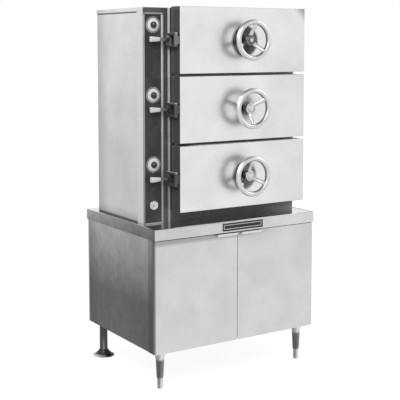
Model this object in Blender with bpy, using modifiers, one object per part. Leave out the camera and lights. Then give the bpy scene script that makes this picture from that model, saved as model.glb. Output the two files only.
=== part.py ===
"""A three-compartment pressure steamer on a cabinet base.

Lengths are in metres, with +Z up and the front towards -Y. The origin is on the floor, under the
middle of the whole machine. Depths are measured back from the front edge of the cabinet top.
"""

import math

import bmesh
import bpy
from mathutils import Matrix, Vector

# Gaps and allowances
TOUCH_GAP = 0.0003
RUNNING_GAP = 0.0006
OVERRUN = 0.002
WELD_OVERLAP = 0.0006
MERGE_DISTANCE = 0.00001

# Facet counts and shading
ROUND_STEPS = 24
SMALL_STEPS = 12
ROD_STEPS = 8
RIM_STEPS = 28
RIM_SECTION_STEPS = 8
CORNER_STEPS = 3
EDGE_STEPS = 2
DOME_STEPS = 3
SHARP_ANGLE = math.radians(32)
ROUND_PROFILE = 0.5
SAME_WAY = 0.5

# Legs and feet
LEG_LENGTH = 0.176
LEG_INSET = 0.060
FRONT_LEG_TOP_RADIUS = 0.026
FRONT_LEG_LOW_RADIUS = 0.016
FRONT_FOOT_RADIUS = 0.013
FRONT_FOOT_TIP_RADIUS = 0.0115
FRONT_FOOT_HEIGHT = 0.050
FRONT_FOOT_TIP_HEIGHT = 0.006
REAR_LEG_RADIUS = 0.020
FLANGE_RADIUS = 0.054
FLANGE_HEIGHT = 0.033
FLANGE_RIM_HEIGHT = 0.005
STEM_RADIUS = 0.007
STEM_LENGTH = 0.030

# Cabinet top
CABINET_WIDTH = 0.914
CABINET_DEPTH = 0.688
CABINET_HEIGHT = 0.577
LIP_HEIGHT = 0.052
TOP_SHEET = 0.002
TOP_EDGE_RADIUS = 0.005

# Cabinet casing
LIP_OVERHANG = 0.005
CASING_SHEET = 0.0015
POST_DEPTH = 0.047
POST_RETURN = 0.030
POST_STEP = 0.0015

# Cabinet doors
CABINET_DOOR_THICKNESS = 0.015
CABINET_DOOR_SHEET = 0.0015
CABINET_DOOR_EDGE_RADIUS = 0.003
DOOR_BACK_GAP = 0.006
BARREL_SINK = 0.0003
HINGE_LEAF_WIDTH = 0.022
DOOR_LIP_GAP = 0.003
DOOR_SEAM = 0.003
PULL_WIDTH = 0.112
PULL_REACH = 0.018
PULL_DROP = 0.011
PULL_SEAM_INSET = 0.013

# Name plate on the lip
PLATE_WIDTH = 0.235
PLATE_HEIGHT = 0.040
PLATE_THICKNESS = 0.0022
PLATE_BORDER = 0.0028
PLATE_RECESS = 0.0008
PLATE_SHIFT = 0.024

# Boiler tank, lying along X
TANK_RADIUS = 0.165
TANK_WALL = 0.006
TANK_LENGTH = 0.460
TANK_HEAD = 0.050
TANK_SETBACK = 0.350
TANK_LIFT = 0.030
NECK_RADIUS = 0.050
NECK_BORE = 0.044
NECK_REACH = 0.030
SADDLE_THICKNESS = 0.012
SADDLE_WIDTH = 0.240
SADDLE_SPACING = 0.300
SADDLE_RISE = 0.110
OUTLET_BORE = 0.012
OUTLET_SHIFT = 0.150
HEATER_FLANGE_RADIUS = 0.062
HEATER_FLANGE_THICKNESS = 0.010
HEATER_COVER_RADIUS = 0.040
HEATER_COVER_LENGTH = 0.050
HEATER_ROD_RADIUS = 0.007
HEATER_ROD_LENGTH = 0.360
HEATER_ROD_CIRCLE = 0.025
HEATER_RODS = 3

# Steam doors
LEVELS = ("bottom", "middle", "top")
DOOR_WIDTH = 0.720
DOOR_HEIGHT = 0.307
DOOR_GAP = 0.0125
DOOR_BASE_GAP = 0.054
DOOR_TOP_RISE = 0.0055
DOOR_SETBACK = 0.052
COVER_SHEET = 0.0015
COVER_CROWN = 0.008
COVER_BACK_GAP = 0.008
COVER_EDGE_RADIUS = 0.003

# Upper body
CONTROL_WIDTH = 0.144
BODY_INSET = 0.023
BODY_SETBACK = 0.138
BODY_DEPTH = 0.458
FRAME_SHEET = 0.0015
FRAME_RETURN = 0.058
FRAME_EDGE_RADIUS = 0.003
CASING_TUCK = 0.012
UPPER_SHEET = 0.0012
COVER_LIP = 0.018
COVER_SEAM = 0.0006

# Pressure chambers
CHAMBER_SIDE_INSET = 0.083
CHAMBER_EDGE_INSET = 0.0345
CHAMBER_REAR_GAP = 0.046
CHAMBER_WALL = 0.003
CHAMBER_CORNER = 0.030
FLANGE_RIM = 0.025
FLANGE_THICKNESS = 0.008
OPENING_GAP = 0.002
FORK_WIDTH = 0.032
FORK_JAW = 0.006
FORK_GAP = 0.0015
FORK_INSET = 0.010
FORK_REACH = 0.068

# Pan racks
RACK_SIDE_GAP = 0.004
RACK_FRONT_GAP = 0.030
RACK_REAR_GAP = 0.027
RACK_HEIGHT = 0.200
RACK_POST = 0.006
RACK_LEDGE = 0.020
RACK_SHEET = 0.002
RACK_ROD_RADIUS = 0.003
RACK_KNEE_RADIUS = 0.0027
RACK_LAP = 0.0015
RACK_RUNNER_WIDTH = 0.020
RACK_LEDGES = 3

# Door arm, spindle and handwheel
PIN_SIDE_GAP = 0.014
PIN_SETBACK = 0.014
PIN_RADIUS = 0.005
EAR_RADIUS = 0.009
EAR_THICKNESS = 0.010
KNUCKLE_HEIGHT = 0.044
WEB_DEPTH = 0.016
ARM_SETBACK = 0.006
ARM_THICKNESS = 0.022
ARM_HEIGHT = 0.036
ARM_END_GAP = 0.003
BEARING_RADIUS = 0.028
BEARING_FRONT = 0.002
BEARING_BACK = 0.004
SPINDLE_SHIFT = 0.005
SPINDLE_RADIUS = 0.011
SHANK_RADIUS = 0.013
COVER_HOLE_GAP = 0.004
COLLAR_RADIUS = 0.016
COLLAR_THICKNESS = 0.004
THREAD_RADIUS = 0.010
NUT_RADIUS = 0.022
NUT_LENGTH = 0.016
NUT_GRIP = 0.006
NUT_FLOOR = 0.002
SCREW_TRAVEL = 0.006
RIM_RADIUS = 0.0845
RIM_TUBE_RADIUS = 0.0120
RIM_STANDOFF = 0.078
HUB_RADIUS = 0.026
HUB_NOSE_RADIUS = 0.019
HUB_LENGTH = 0.030
HUB_SHOULDER = 0.024
HUB_STANDOFF = 0.047
SPOKES = 3
SPOKE_RADIUS = 0.0085
WHEEL_TURNS = (math.radians(0), math.radians(-62), math.radians(10))

# Pressure plate and gasket
PRESSURE_PLATE_RIM = 0.005
PRESSURE_PLATE_THICKNESS = 0.006
PLATE_SIDE_GAP = 0.004
GASKET_WIDTH = 0.014
GASKET_THICKNESS = 0.0114

# Control panel
PANEL_SHEET = 0.0015
TRIM_WIDTH = 0.105
TRIM_HEIGHT = 0.970
TRIM_EDGE = 0.006
TRIM_INNER_EDGE = 0.012
TRIM_THICKNESS = 0.003
STRIP_OFFSET = 0.129
STRIP_WIDTH = 0.011
STRIP_THICKNESS = 0.0022
DIAL_RISE = 0.0685
DIAL_RADIUS = 0.038
DIAL_THICKNESS = 0.0032
DIAL_RING_RADIUS = 0.0305
DIAL_RING_RISE = 0.002
TIMER_BUSH_RADIUS = 0.012
TIMER_CASE_SIDE = 0.056
TIMER_CASE_DEPTH = 0.045
KNOB_RADIUS = 0.015
KNOB_NOSE_RADIUS = 0.0125
KNOB_LENGTH = 0.009
KNOB_NOSE = 0.002
KNOB_SLOT_WIDTH = 0.004
KNOB_SLOT_DEPTH = 0.002
KNOB_TURN = math.radians(45)
GAUGE_HEIGHT = 0.088
GAUGE_RADIUS = 0.0215
GAUGE_BEZEL = 0.003
GAUGE_DEPTH = 0.008
GAUGE_RECESS = 0.004
GAUGE_STUB_RADIUS = 0.013
GAUGE_STUB_LENGTH = 0.030
NEEDLE_LENGTH = 0.015
NEEDLE_WIDTH = 0.0016
NEEDLE_THICKNESS = 0.001
NEEDLE_HUB_RADIUS = 0.003
NEEDLE_HUB_LENGTH = 0.002
NEEDLE_TURN = math.radians(-135)
HOLE_GAP = 0.0015

# Steam valve levers and the header behind them
LEVER_OFFSET = 0.111
LEVER_RISE = 0.003
LEVER_STANDOFF = 0.034
LEVER_BAR_HEIGHT = 0.013
LEVER_BAR_THICKNESS = 0.006
LEVER_BOSS_RADIUS = 0.008
LEVER_BOSS_LENGTH = 0.012
LEVER_SHAFT_RADIUS = 0.004
GRIP_START = 0.0435
GRIP_LENGTH = 0.050
GRIP_HEIGHT = 0.025
GRIP_THICKNESS = 0.018
GRIP_EDGE_RADIUS = 0.003
TANG_HEIGHT = 0.008
TANG_LENGTH = 0.036
RISER_OFFSET = 0.045
RISER_SETBACK = 0.230
PIPE_RADIUS = 0.016
BRANCH_RADIUS = 0.011
PIPE_BEND_RADIUS = 0.030
HEADER_CLEARANCE = 0.070
RISER_HOLE_GAP = 0.008
VALVE_RADIUS = 0.019
VALVE_LENGTH = 0.044

# Places worked out from the sizes above
CASING_BASE = LEG_LENGTH
CABINET_TOP = LEG_LENGTH + CABINET_HEIGHT
WHEEL_REACH = RIM_STANDOFF + RIM_TUBE_RADIUS - DOOR_SETBACK
FRONT_Y = (WHEEL_REACH - CABINET_DEPTH) / 2
CASING_HALF = CABINET_WIDTH / 2 - LIP_OVERHANG
CABINET_DOOR_BACK = LIP_OVERHANG + CABINET_DOOR_THICKNESS
CASING_FRONT = CABINET_DOOR_BACK + DOOR_BACK_GAP
CASING_REAR = CABINET_DEPTH - LIP_OVERHANG
BODY_LEFT = BODY_INSET - CABINET_WIDTH / 2
BODY_RIGHT = BODY_LEFT + CONTROL_WIDTH + DOOR_WIDTH
BODY_BASE = CABINET_TOP + TOUCH_GAP
DOOR_PITCH = DOOR_HEIGHT + DOOR_GAP
DOOR_STACK = len(LEVELS) * DOOR_PITCH - DOOR_GAP
BODY_TOP = CABINET_TOP + DOOR_BASE_GAP + DOOR_STACK - DOOR_TOP_RISE
BODY_REAR = BODY_SETBACK + BODY_DEPTH
FRAME_FACE = BODY_SETBACK - TOUCH_GAP
DOOR_LEFT = BODY_LEFT + CONTROL_WIDTH
DOOR_RIGHT = BODY_RIGHT
DOOR_MIDDLE = (DOOR_LEFT + DOOR_RIGHT) / 2 - SPINDLE_SHIFT
COVER_BACK = BODY_SETBACK - COVER_BACK_GAP
FLANGE_FRONT = FRAME_FACE - FLANGE_THICKNESS
CHAMBER_BACK = BODY_REAR - CHAMBER_REAR_GAP
CHAMBER_WIDTH = DOOR_WIDTH - 2 * CHAMBER_SIDE_INSET
CHAMBER_HEIGHT = DOOR_HEIGHT - 2 * CHAMBER_EDGE_INSET
SHELL_HALF_WIDTH = CHAMBER_WIDTH / 2 + CHAMBER_WALL
SHELL_HALF_HEIGHT = CHAMBER_HEIGHT / 2 + CHAMBER_WALL
PIN_X = DOOR_LEFT - PIN_SIDE_GAP
PIN_DEPTH = DOOR_SETBACK + PIN_SETBACK
ARM_FRONT = DOOR_SETBACK + ARM_SETBACK
ARM_BACK = ARM_FRONT + ARM_THICKNESS
ARM_RIGHT = DOOR_RIGHT - COVER_SHEET - ARM_END_GAP
BEARING_FACE = DOOR_SETBACK - BEARING_FRONT
BEARING_REAR = ARM_BACK + BEARING_BACK
COLLAR_BACK = BEARING_REAR + TOUCH_GAP + COLLAR_THICKNESS
GASKET_BACK = FLANGE_FRONT - TOUCH_GAP
GASKET_FRONT = GASKET_BACK - GASKET_THICKNESS
PRESSURE_PLATE_BACK = GASKET_FRONT - TOUCH_GAP
PRESSURE_PLATE_FRONT = PRESSURE_PLATE_BACK - PRESSURE_PLATE_THICKNESS
NUT_FRONT = PRESSURE_PLATE_FRONT - NUT_LENGTH
SPINDLE_END = NUT_FRONT + NUT_GRIP
HUB_FRONT = DOOR_SETBACK - HUB_STANDOFF - HUB_LENGTH / 2
HUB_BACK = DOOR_SETBACK - HUB_STANDOFF + HUB_LENGTH / 2
RIM_DEPTH = DOOR_SETBACK - RIM_STANDOFF
PANEL_FACE = FRAME_FACE - PANEL_SHEET
DIAL_X = BODY_LEFT + (TRIM_EDGE + TRIM_WIDTH - TRIM_INNER_EDGE) / 2
LEVER_X = BODY_LEFT + LEVER_OFFSET
LEVER_DEPTH = BODY_SETBACK - LEVER_STANDOFF
TIMER_CASE_FRONT = BODY_SETBACK + FRAME_SHEET + TOUCH_GAP
VALVE_FRONT = RISER_SETBACK - VALVE_LENGTH / 2
TANK_MIDDLE_Z = CASING_BASE + CASING_SHEET + TANK_LIFT + TANK_RADIUS
RISER_X = BODY_LEFT + RISER_OFFSET
BARREL_RADIUS = DOOR_BACK_GAP / 2
BARREL_DEPTH = CABINET_DOOR_BACK + BARREL_RADIUS - BARREL_SINK
CABINET_DOOR_TOP = CABINET_TOP - LIP_HEIGHT - DOOR_LIP_GAP

UP = Vector((0, 0, 1))
FORWARD = Vector((0, -1, 0))
BACKWARD = Vector((0, 1, 0))
RIGHTWARD = Vector((1, 0, 0))

for old in list(bpy.data.objects):
    bpy.data.objects.remove(old)

parts = bpy.data.collections.new("pressure_steamer")
helpers = bpy.data.collections.new("cutters_and_joined_shapes")
bpy.context.scene.collection.children.link(parts)
bpy.context.scene.collection.children.link(helpers)
helpers.hide_render = True


def finish(name, colour, roughness, metallic):
    """A plain material with the finish's colour, roughness and metallic value."""
    material = bpy.data.materials.new(name)
    material.use_nodes = True
    shader = material.node_tree.nodes["Principled BSDF"]
    shader.inputs["Base Color"].default_value = (*colour, 1)
    shader.inputs["Roughness"].default_value = roughness
    shader.inputs["Metallic"].default_value = metallic
    return material


STEEL = finish("brushed_stainless", (0.62, 0.62, 0.62), 0.32, 1)
BRIGHT_STEEL = finish("polished_stainless", (0.72, 0.72, 0.72), 0.16, 1)
DARK_STEEL = finish("leg_steel", (0.22, 0.22, 0.23), 0.4, 1)
CHROME = finish("chrome", (0.8, 0.8, 0.82), 0.08, 1)
BLACK = finish("black_enamel", (0.015, 0.015, 0.016), 0.25, 0)
BLACK_PLASTIC = finish("black_plastic", (0.02, 0.02, 0.02), 0.4, 0)
PALE_PLASTIC = finish("pale_plastic", (0.82, 0.81, 0.78), 0.35, 0)
DIAL_WHITE = finish("dial_white", (0.85, 0.85, 0.84), 0.3, 0)
RUBBER = finish("gasket_rubber", (0.05, 0.05, 0.05), 0.7, 0)
IRON = finish("painted_iron", (0.09, 0.09, 0.095), 0.5, 0)
BOILER_STEEL = finish("boiler_steel", (0.28, 0.28, 0.3), 0.55, 1)


def behind(depth):
    """World Y of a depth behind the front edge of the cabinet top."""
    return FRONT_Y + depth


def level_z(level):
    """Height of the middle of a steam door, counted from the bottom one."""
    return CABINET_TOP + DOOR_BASE_GAP + DOOR_HEIGHT / 2 + level * DOOR_PITCH


def add_object(name, mesh, location, material):
    """A part with this mesh, placed and given its material."""
    obj = bpy.data.objects.new(name, mesh)
    obj.location = location
    parts.objects.link(obj)
    if material:
        mesh.materials.clear()
        mesh.materials.append(material)
    return obj


def mesh_of(name, bm):
    mesh = bpy.data.meshes.new(name)
    bm.to_mesh(mesh)
    bm.free()
    return mesh


def evaluated_mesh(obj):
    """The mesh that an object's modifiers or bevel make, with its loose caps welded."""
    bpy.context.view_layer.update()
    graph = bpy.context.evaluated_depsgraph_get()
    mesh = bpy.data.meshes.new_from_object(obj.evaluated_get(graph))
    bm = bmesh.new()
    bm.from_mesh(mesh)
    bmesh.ops.remove_doubles(bm, verts=bm.verts, dist=MERGE_DISTANCE)
    bm.to_mesh(mesh)
    bm.free()
    return mesh


def smooth(mesh):
    mesh.shade_smooth()
    mesh.set_sharp_from_angle(angle=SHARP_ANGLE)


def cube_between(low, high):
    """A bmesh box of this size, centred on its own origin, and where its middle goes."""
    low, high = Vector(low), Vector(high)
    bm = bmesh.new()
    bmesh.ops.create_cube(bm, size=1)
    bmesh.ops.scale(bm, vec=high - low, verts=bm.verts)
    return bm, (low + high) / 2


def block(name, low, high, material=None, radius=0, along=None, origin=None):
    """A box, with the edges along one axis rounded if a radius is given."""
    bm, middle = cube_between(low, high)
    if radius:
        edges = []
        for edge in bm.edges:
            direction = (edge.verts[0].co - edge.verts[1].co).normalized()
            if abs(direction.dot(along)) > math.cos(SHARP_ANGLE):
                edges.append(edge)
        bmesh.ops.bevel(
            bm, geom=edges, offset=radius, segments=CORNER_STEPS, profile=ROUND_PROFILE, affect="EDGES"
        )
    origin = middle if origin is None else Vector(origin)
    bmesh.ops.translate(bm, vec=middle - origin, verts=bm.verts)
    mesh = mesh_of(name, bm)
    if radius:
        smooth(mesh)
    return add_object(name, mesh, origin, material)


def rod(name, start, end, radius, material=None, end_radius=None, sides=SMALL_STEPS, origin=None):
    """A round bar from start to end, tapered if it has an end radius."""
    start, end = Vector(start), Vector(end)
    reach = end - start
    bm = bmesh.new()
    bmesh.ops.create_cone(
        bm,
        cap_ends=True,
        segments=sides,
        radius1=radius,
        radius2=radius if end_radius is None else end_radius,
        depth=reach.length,
    )
    turn = reach.to_track_quat("Z", "Y").to_matrix()
    bmesh.ops.rotate(bm, matrix=turn, verts=bm.verts)
    middle = (start + end) / 2
    origin = middle if origin is None else Vector(origin)
    bmesh.ops.translate(bm, vec=middle - origin, verts=bm.verts)
    mesh = mesh_of(name, bm)
    smooth(mesh)
    return add_object(name, mesh, origin, material)


def turned(name, profile, base, direction, material=None, steps=ROUND_STEPS, ring=False):
    """A profile of (radius, height) pairs, top first, turned about an axis through base."""
    bm = bmesh.new()
    points = [bm.verts.new((radius, 0, height)) for radius, height in profile]
    for start, end in zip(points, points[1:]):
        bm.edges.new((start, end))
    if ring:
        bm.edges.new((points[-1], points[0]))
    guide = bpy.data.objects.new(name + "_profile", mesh_of(name + "_profile", bm))
    helpers.objects.link(guide)
    guide.hide_render = True
    guide.display_type = "WIRE"
    screw = guide.modifiers.new("Turn", "SCREW")
    screw.steps = steps
    screw.render_steps = steps
    screw.use_merge_vertices = True
    screw.merge_threshold = MERGE_DISTANCE
    mesh = evaluated_mesh(guide)
    bpy.data.objects.remove(guide)
    mesh.transform(Vector(direction).to_track_quat("Z", "Y").to_matrix().to_4x4())
    smooth(mesh)
    return add_object(name, mesh, base, material)


def pipe(name, points, radius, bend_radius, material=None):
    """A tube along straight runs, with a rounded bend at each corner between them."""
    points = [Vector(point) for point in points]
    route = [points[0]]
    for before, corner, after in zip(points, points[1:], points[2:]):
        into = (corner - before).normalized()
        out = (after - corner).normalized()
        centre = corner + bend_radius * (out - into)
        for step in range(CORNER_STEPS + 1):
            angle = math.pi / 2 * step / CORNER_STEPS
            route.append(centre + bend_radius * (into * math.sin(angle) - out * math.cos(angle)))
    route.append(points[-1])
    curve = bpy.data.curves.new(name, "CURVE")
    curve.dimensions = "3D"
    curve.bevel_depth = radius
    curve.bevel_resolution = 2
    curve.use_fill_caps = True
    spline = curve.splines.new("POLY")
    spline.points.add(len(route) - 1)
    for point, place in zip(spline.points, route):
        point.co = (*(place - route[0]), 1)
    guide = bpy.data.objects.new(name + "_route", curve)
    helpers.objects.link(guide)
    mesh = evaluated_mesh(guide)
    bpy.data.objects.remove(guide)
    smooth(mesh)
    return add_object(name, mesh, route[0], material)


def open_box(name, low, high, open_sides, sheet, material, edge_radius):
    """A sheet-metal box with some sides left out and its outer edges rounded."""
    bm, middle = cube_between(low, high)
    bm.normal_update()
    gone = [face for face in bm.faces if any(face.normal.dot(side) > SAME_WAY for side in open_sides)]
    bmesh.ops.delete(bm, geom=gone, context="FACES")
    mesh = mesh_of(name, bm)
    obj = add_object(name, mesh, middle, material)
    fold_sheet(obj, sheet, edge_radius)
    return obj


def fold_sheet(obj, sheet, edge_radius):
    """Rounds the folds of an open surface and gives it the sheet's thickness, inwards."""
    obj.data.shade_smooth()
    obj.data.set_sharp_from_angle(angle=SHARP_ANGLE)
    if edge_radius:
        bevel = obj.modifiers.new("Folds", "BEVEL")
        bevel.width = edge_radius
        bevel.segments = EDGE_STEPS
        bevel.limit_method = "ANGLE"
        bevel.angle_limit = SHARP_ANGLE
    shell = obj.modifiers.new("Sheet", "SOLIDIFY")
    shell.thickness = sheet
    shell.offset = -1
    shell.use_even_offset = True


def folded_wall(name, path, low_z, high_z, sheet, material):
    """An upright wall along a path seen from above, with its sheet on the path's right."""
    bm = bmesh.new()
    middle = Vector((0, behind(CABINET_DEPTH / 2), low_z))
    points = [bm.verts.new(Vector((x, behind(depth), low_z)) - middle) for x, depth in path]
    edges = [bm.edges.new(pair) for pair in zip(points, points[1:])]
    made = bmesh.ops.extrude_edge_only(bm, edges=edges)
    risen = [item for item in made["geom"] if isinstance(item, bmesh.types.BMVert)]
    bmesh.ops.translate(bm, vec=UP * (high_z - low_z), verts=risen)
    bm.normal_update()
    along = points[1].co - points[0].co
    if edges[0].link_faces[0].normal.dot(along.cross(UP)) > 0:
        bmesh.ops.reverse_faces(bm, faces=bm.faces[:])
    obj = add_object(name, mesh_of(name, bm), middle, material)
    fold_sheet(obj, sheet, 0)
    return obj


def combine(target, operation, others):
    """Booleans that keep the other shapes as hidden helpers, carried by the target."""
    for other in others:
        parts.objects.unlink(other)
        helpers.objects.link(other)
        other.hide_render = True
        other.display_type = "WIRE"
        other.parent = target
        other.location = other.location - target.location
        boolean = target.modifiers.new(other.name, "BOOLEAN")
        boolean.operation = operation
        boolean.solver = "EXACT"
        boolean.object = other
    return target


def join(target, *others):
    return combine(target, "UNION", others)


def cut(target, *others):
    return combine(target, "DIFFERENCE", others)


def joint_frame(name, pivot, parent=None):
    """An empty on a joint's axis, for the pieces that move with it."""
    frame = bpy.data.objects.new(name, None)
    parts.objects.link(frame)
    frame.location = pivot
    if parent:
        frame.parent = parent
        frame.location = Vector(pivot) - world_place(parent)
    return frame


def world_place(obj):
    place = obj.location.copy()
    while obj.parent:
        obj = obj.parent
        place += obj.location
    return place


def carry(frame, *pieces):
    """Parents pieces to a joint's empty without moving them."""
    for piece in pieces:
        piece.parent = frame
        piece.location = piece.location - world_place(frame)


def turn_in_place(obj, angle):
    """Turns a mesh about the front-to-back axis through its origin, clockwise from the front."""
    obj.data.transform(Matrix.Rotation(angle, 4, BACKWARD))


def fixed_legs():
    """Two tapered legs in front and two straight ones with flanged feet behind."""
    top = CASING_BASE - TOUCH_GAP
    sides = (("left", -1), ("right", 1))
    for side, sign in sides:
        x = sign * (CABINET_WIDTH / 2 - LEG_INSET)
        front = (x, behind(LEG_INSET), 0)
        rear = (x, behind(CABINET_DEPTH - LEG_INSET), 0)
        bore = STEM_RADIUS + RUNNING_GAP
        stem = STEM_LENGTH - RUNNING_GAP
        leg_foot = FRONT_FOOT_HEIGHT + TOUCH_GAP
        turned(
            f"leg_front_{side}",
            (
                (0, top),
                (FRONT_LEG_TOP_RADIUS, top),
                (FRONT_LEG_LOW_RADIUS, leg_foot),
                (bore, leg_foot),
                (bore, leg_foot + STEM_LENGTH),
                (0, leg_foot + STEM_LENGTH),
            ),
            front,
            UP,
            DARK_STEEL,
        )
        turned(
            f"foot_front_{side}",
            (
                (0, FRONT_FOOT_HEIGHT + stem),
                (STEM_RADIUS, FRONT_FOOT_HEIGHT + stem),
                (STEM_RADIUS, FRONT_FOOT_HEIGHT),
                (FRONT_FOOT_RADIUS, FRONT_FOOT_HEIGHT),
                (FRONT_FOOT_RADIUS, FRONT_FOOT_TIP_HEIGHT),
                (FRONT_FOOT_TIP_RADIUS, 0),
                (0, 0),
            ),
            front,
            UP,
            CHROME,
        )
        leg_foot = FLANGE_HEIGHT + TOUCH_GAP
        turned(
            f"leg_rear_{side}",
            (
                (0, top),
                (REAR_LEG_RADIUS, top),
                (REAR_LEG_RADIUS, leg_foot),
                (bore, leg_foot),
                (bore, leg_foot + STEM_LENGTH),
                (0, leg_foot + STEM_LENGTH),
            ),
            rear,
            UP,
            DARK_STEEL,
        )
        turned(
            f"foot_rear_{side}",
            (
                (0, FLANGE_HEIGHT + stem),
                (STEM_RADIUS, FLANGE_HEIGHT + stem),
                (STEM_RADIUS, FLANGE_HEIGHT),
                (REAR_LEG_RADIUS, FLANGE_HEIGHT),
                (FLANGE_RADIUS, FLANGE_RIM_HEIGHT),
                (FLANGE_RADIUS, 0),
                (0, 0),
            ),
            rear,
            UP,
            DARK_STEEL,
        )


def cabinet_casing():
    """Sides and back in one folded sheet with front corner posts, and a floor joined in."""
    inner = CASING_HALF - POST_STEP
    post_end = CASING_FRONT + POST_DEPTH
    left = (
        (-CASING_HALF + POST_RETURN, CASING_FRONT),
        (-CASING_HALF, CASING_FRONT),
        (-CASING_HALF, post_end),
        (-inner, post_end + POST_STEP),
        (-inner, CASING_REAR),
    )
    right = tuple((-x, depth) for x, depth in reversed(left))
    wall_top = CABINET_TOP - TOP_SHEET - TOUCH_GAP
    casing = folded_wall(
        "cabinet_casing", left + right, CASING_BASE, wall_top, CASING_SHEET, STEEL
    )
    bed = CASING_SHEET / 2
    floor = block(
        "cabinet_floor",
        (-inner + bed, behind(CASING_FRONT + bed), CASING_BASE),
        (inner - bed, behind(CASING_REAR - bed), CASING_BASE + CASING_SHEET),
    )
    return join(casing, floor)


def cabinet_top():
    """A folded top with a deep lip, pierced where the steam riser passes through."""
    top = open_box(
        "cabinet_top",
        (-CABINET_WIDTH / 2, behind(0), CABINET_TOP - LIP_HEIGHT),
        (CABINET_WIDTH / 2, behind(CABINET_DEPTH), CABINET_TOP),
        (-UP,),
        TOP_SHEET,
        BRIGHT_STEEL,
        TOP_EDGE_RADIUS,
    )
    middle = (RISER_X, behind(RISER_SETBACK))
    hole = rod(
        "riser_hole",
        (*middle, CABINET_TOP - TOP_SHEET - OVERRUN),
        (*middle, CABINET_TOP + OVERRUN),
        PIPE_RADIUS + RISER_HOLE_GAP,
    )
    return cut(top, hole)


def cabinet_door(side, sign):
    """A shallow door pan with a finger pull by the seam and a piano hinge at its outer edge."""
    outer = sign * CASING_HALF
    inner = sign * DOOR_SEAM / 2
    low_x, high_x = min(outer, inner), max(outer, inner)
    pan = open_box(
        f"cabinet_door_{side}",
        (low_x, behind(LIP_OVERHANG), CASING_BASE),
        (high_x, behind(CABINET_DOOR_BACK), CABINET_DOOR_TOP),
        (BACKWARD,),
        CABINET_DOOR_SHEET,
        STEEL,
        CABINET_DOOR_EDGE_RADIUS,
    )
    near = sign * PULL_SEAM_INSET
    far = sign * (PULL_SEAM_INSET + PULL_WIDTH)
    pull_front = LIP_OVERHANG - PULL_REACH
    shelf = block(
        f"pull_shelf_{side}",
        (min(near, far), behind(pull_front), CABINET_DOOR_TOP - CABINET_DOOR_SHEET),
        (max(near, far), behind(CABINET_DOOR_BACK - OVERRUN), CABINET_DOOR_TOP),
    )
    drop = block(
        f"pull_drop_{side}",
        (min(near, far), behind(pull_front), CABINET_DOOR_TOP - PULL_DROP),
        (
            max(near, far),
            behind(pull_front + CABINET_DOOR_SHEET),
            CABINET_DOOR_TOP - WELD_OVERLAP,
        ),
    )
    leaf_end = sign * (CASING_HALF - HINGE_LEAF_WIDTH)
    leaf = block(
        f"hinge_leaf_{side}",
        (min(outer, leaf_end), behind(CABINET_DOOR_BACK - WELD_OVERLAP), CASING_BASE),
        (
            max(outer, leaf_end),
            behind(CABINET_DOOR_BACK + CABINET_DOOR_SHEET),
            CABINET_DOOR_TOP,
        ),
    )
    barrel = rod(
        f"hinge_barrel_{side}",
        (outer, behind(BARREL_DEPTH), CASING_BASE),
        (outer, behind(BARREL_DEPTH), CABINET_DOOR_TOP),
        BARREL_RADIUS,
        sides=SMALL_STEPS,
    )
    join(pan, shelf, drop, leaf, barrel)
    hinge = joint_frame(
        f"cabinet_door_{side}_hinge", (outer, behind(BARREL_DEPTH), CASING_BASE)
    )
    carry(hinge, pan)


def name_plate():
    """A blank plate with a raised border on the front of the lip."""
    middle_x = PLATE_SHIFT
    middle_z = CABINET_TOP - LIP_HEIGHT / 2
    half = Vector((PLATE_WIDTH / 2, 0, PLATE_HEIGHT / 2))
    face = -TOUCH_GAP - PLATE_THICKNESS
    plate = block(
        "nameplate",
        (middle_x - half.x, behind(face), middle_z - half.z),
        (middle_x + half.x, behind(-TOUCH_GAP), middle_z + half.z),
        BLACK,
    )
    field = block(
        "nameplate_field",
        (
            middle_x - half.x + PLATE_BORDER,
            behind(face - OVERRUN),
            middle_z - half.z + PLATE_BORDER,
        ),
        (
            middle_x + half.x - PLATE_BORDER,
            behind(face + PLATE_RECESS),
            middle_z + half.z - PLATE_BORDER,
        ),
    )
    return cut(plate, field)


def dome_points(radius, height, middle, sign):
    """Points of a dished head, from the shell's edge to the axis."""
    points = []
    for step in range(DOME_STEPS + 1):
        angle = math.pi / 2 * step / DOME_STEPS
        points.append((radius * math.cos(angle), middle + sign * height * math.sin(angle)))
    return points


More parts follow.
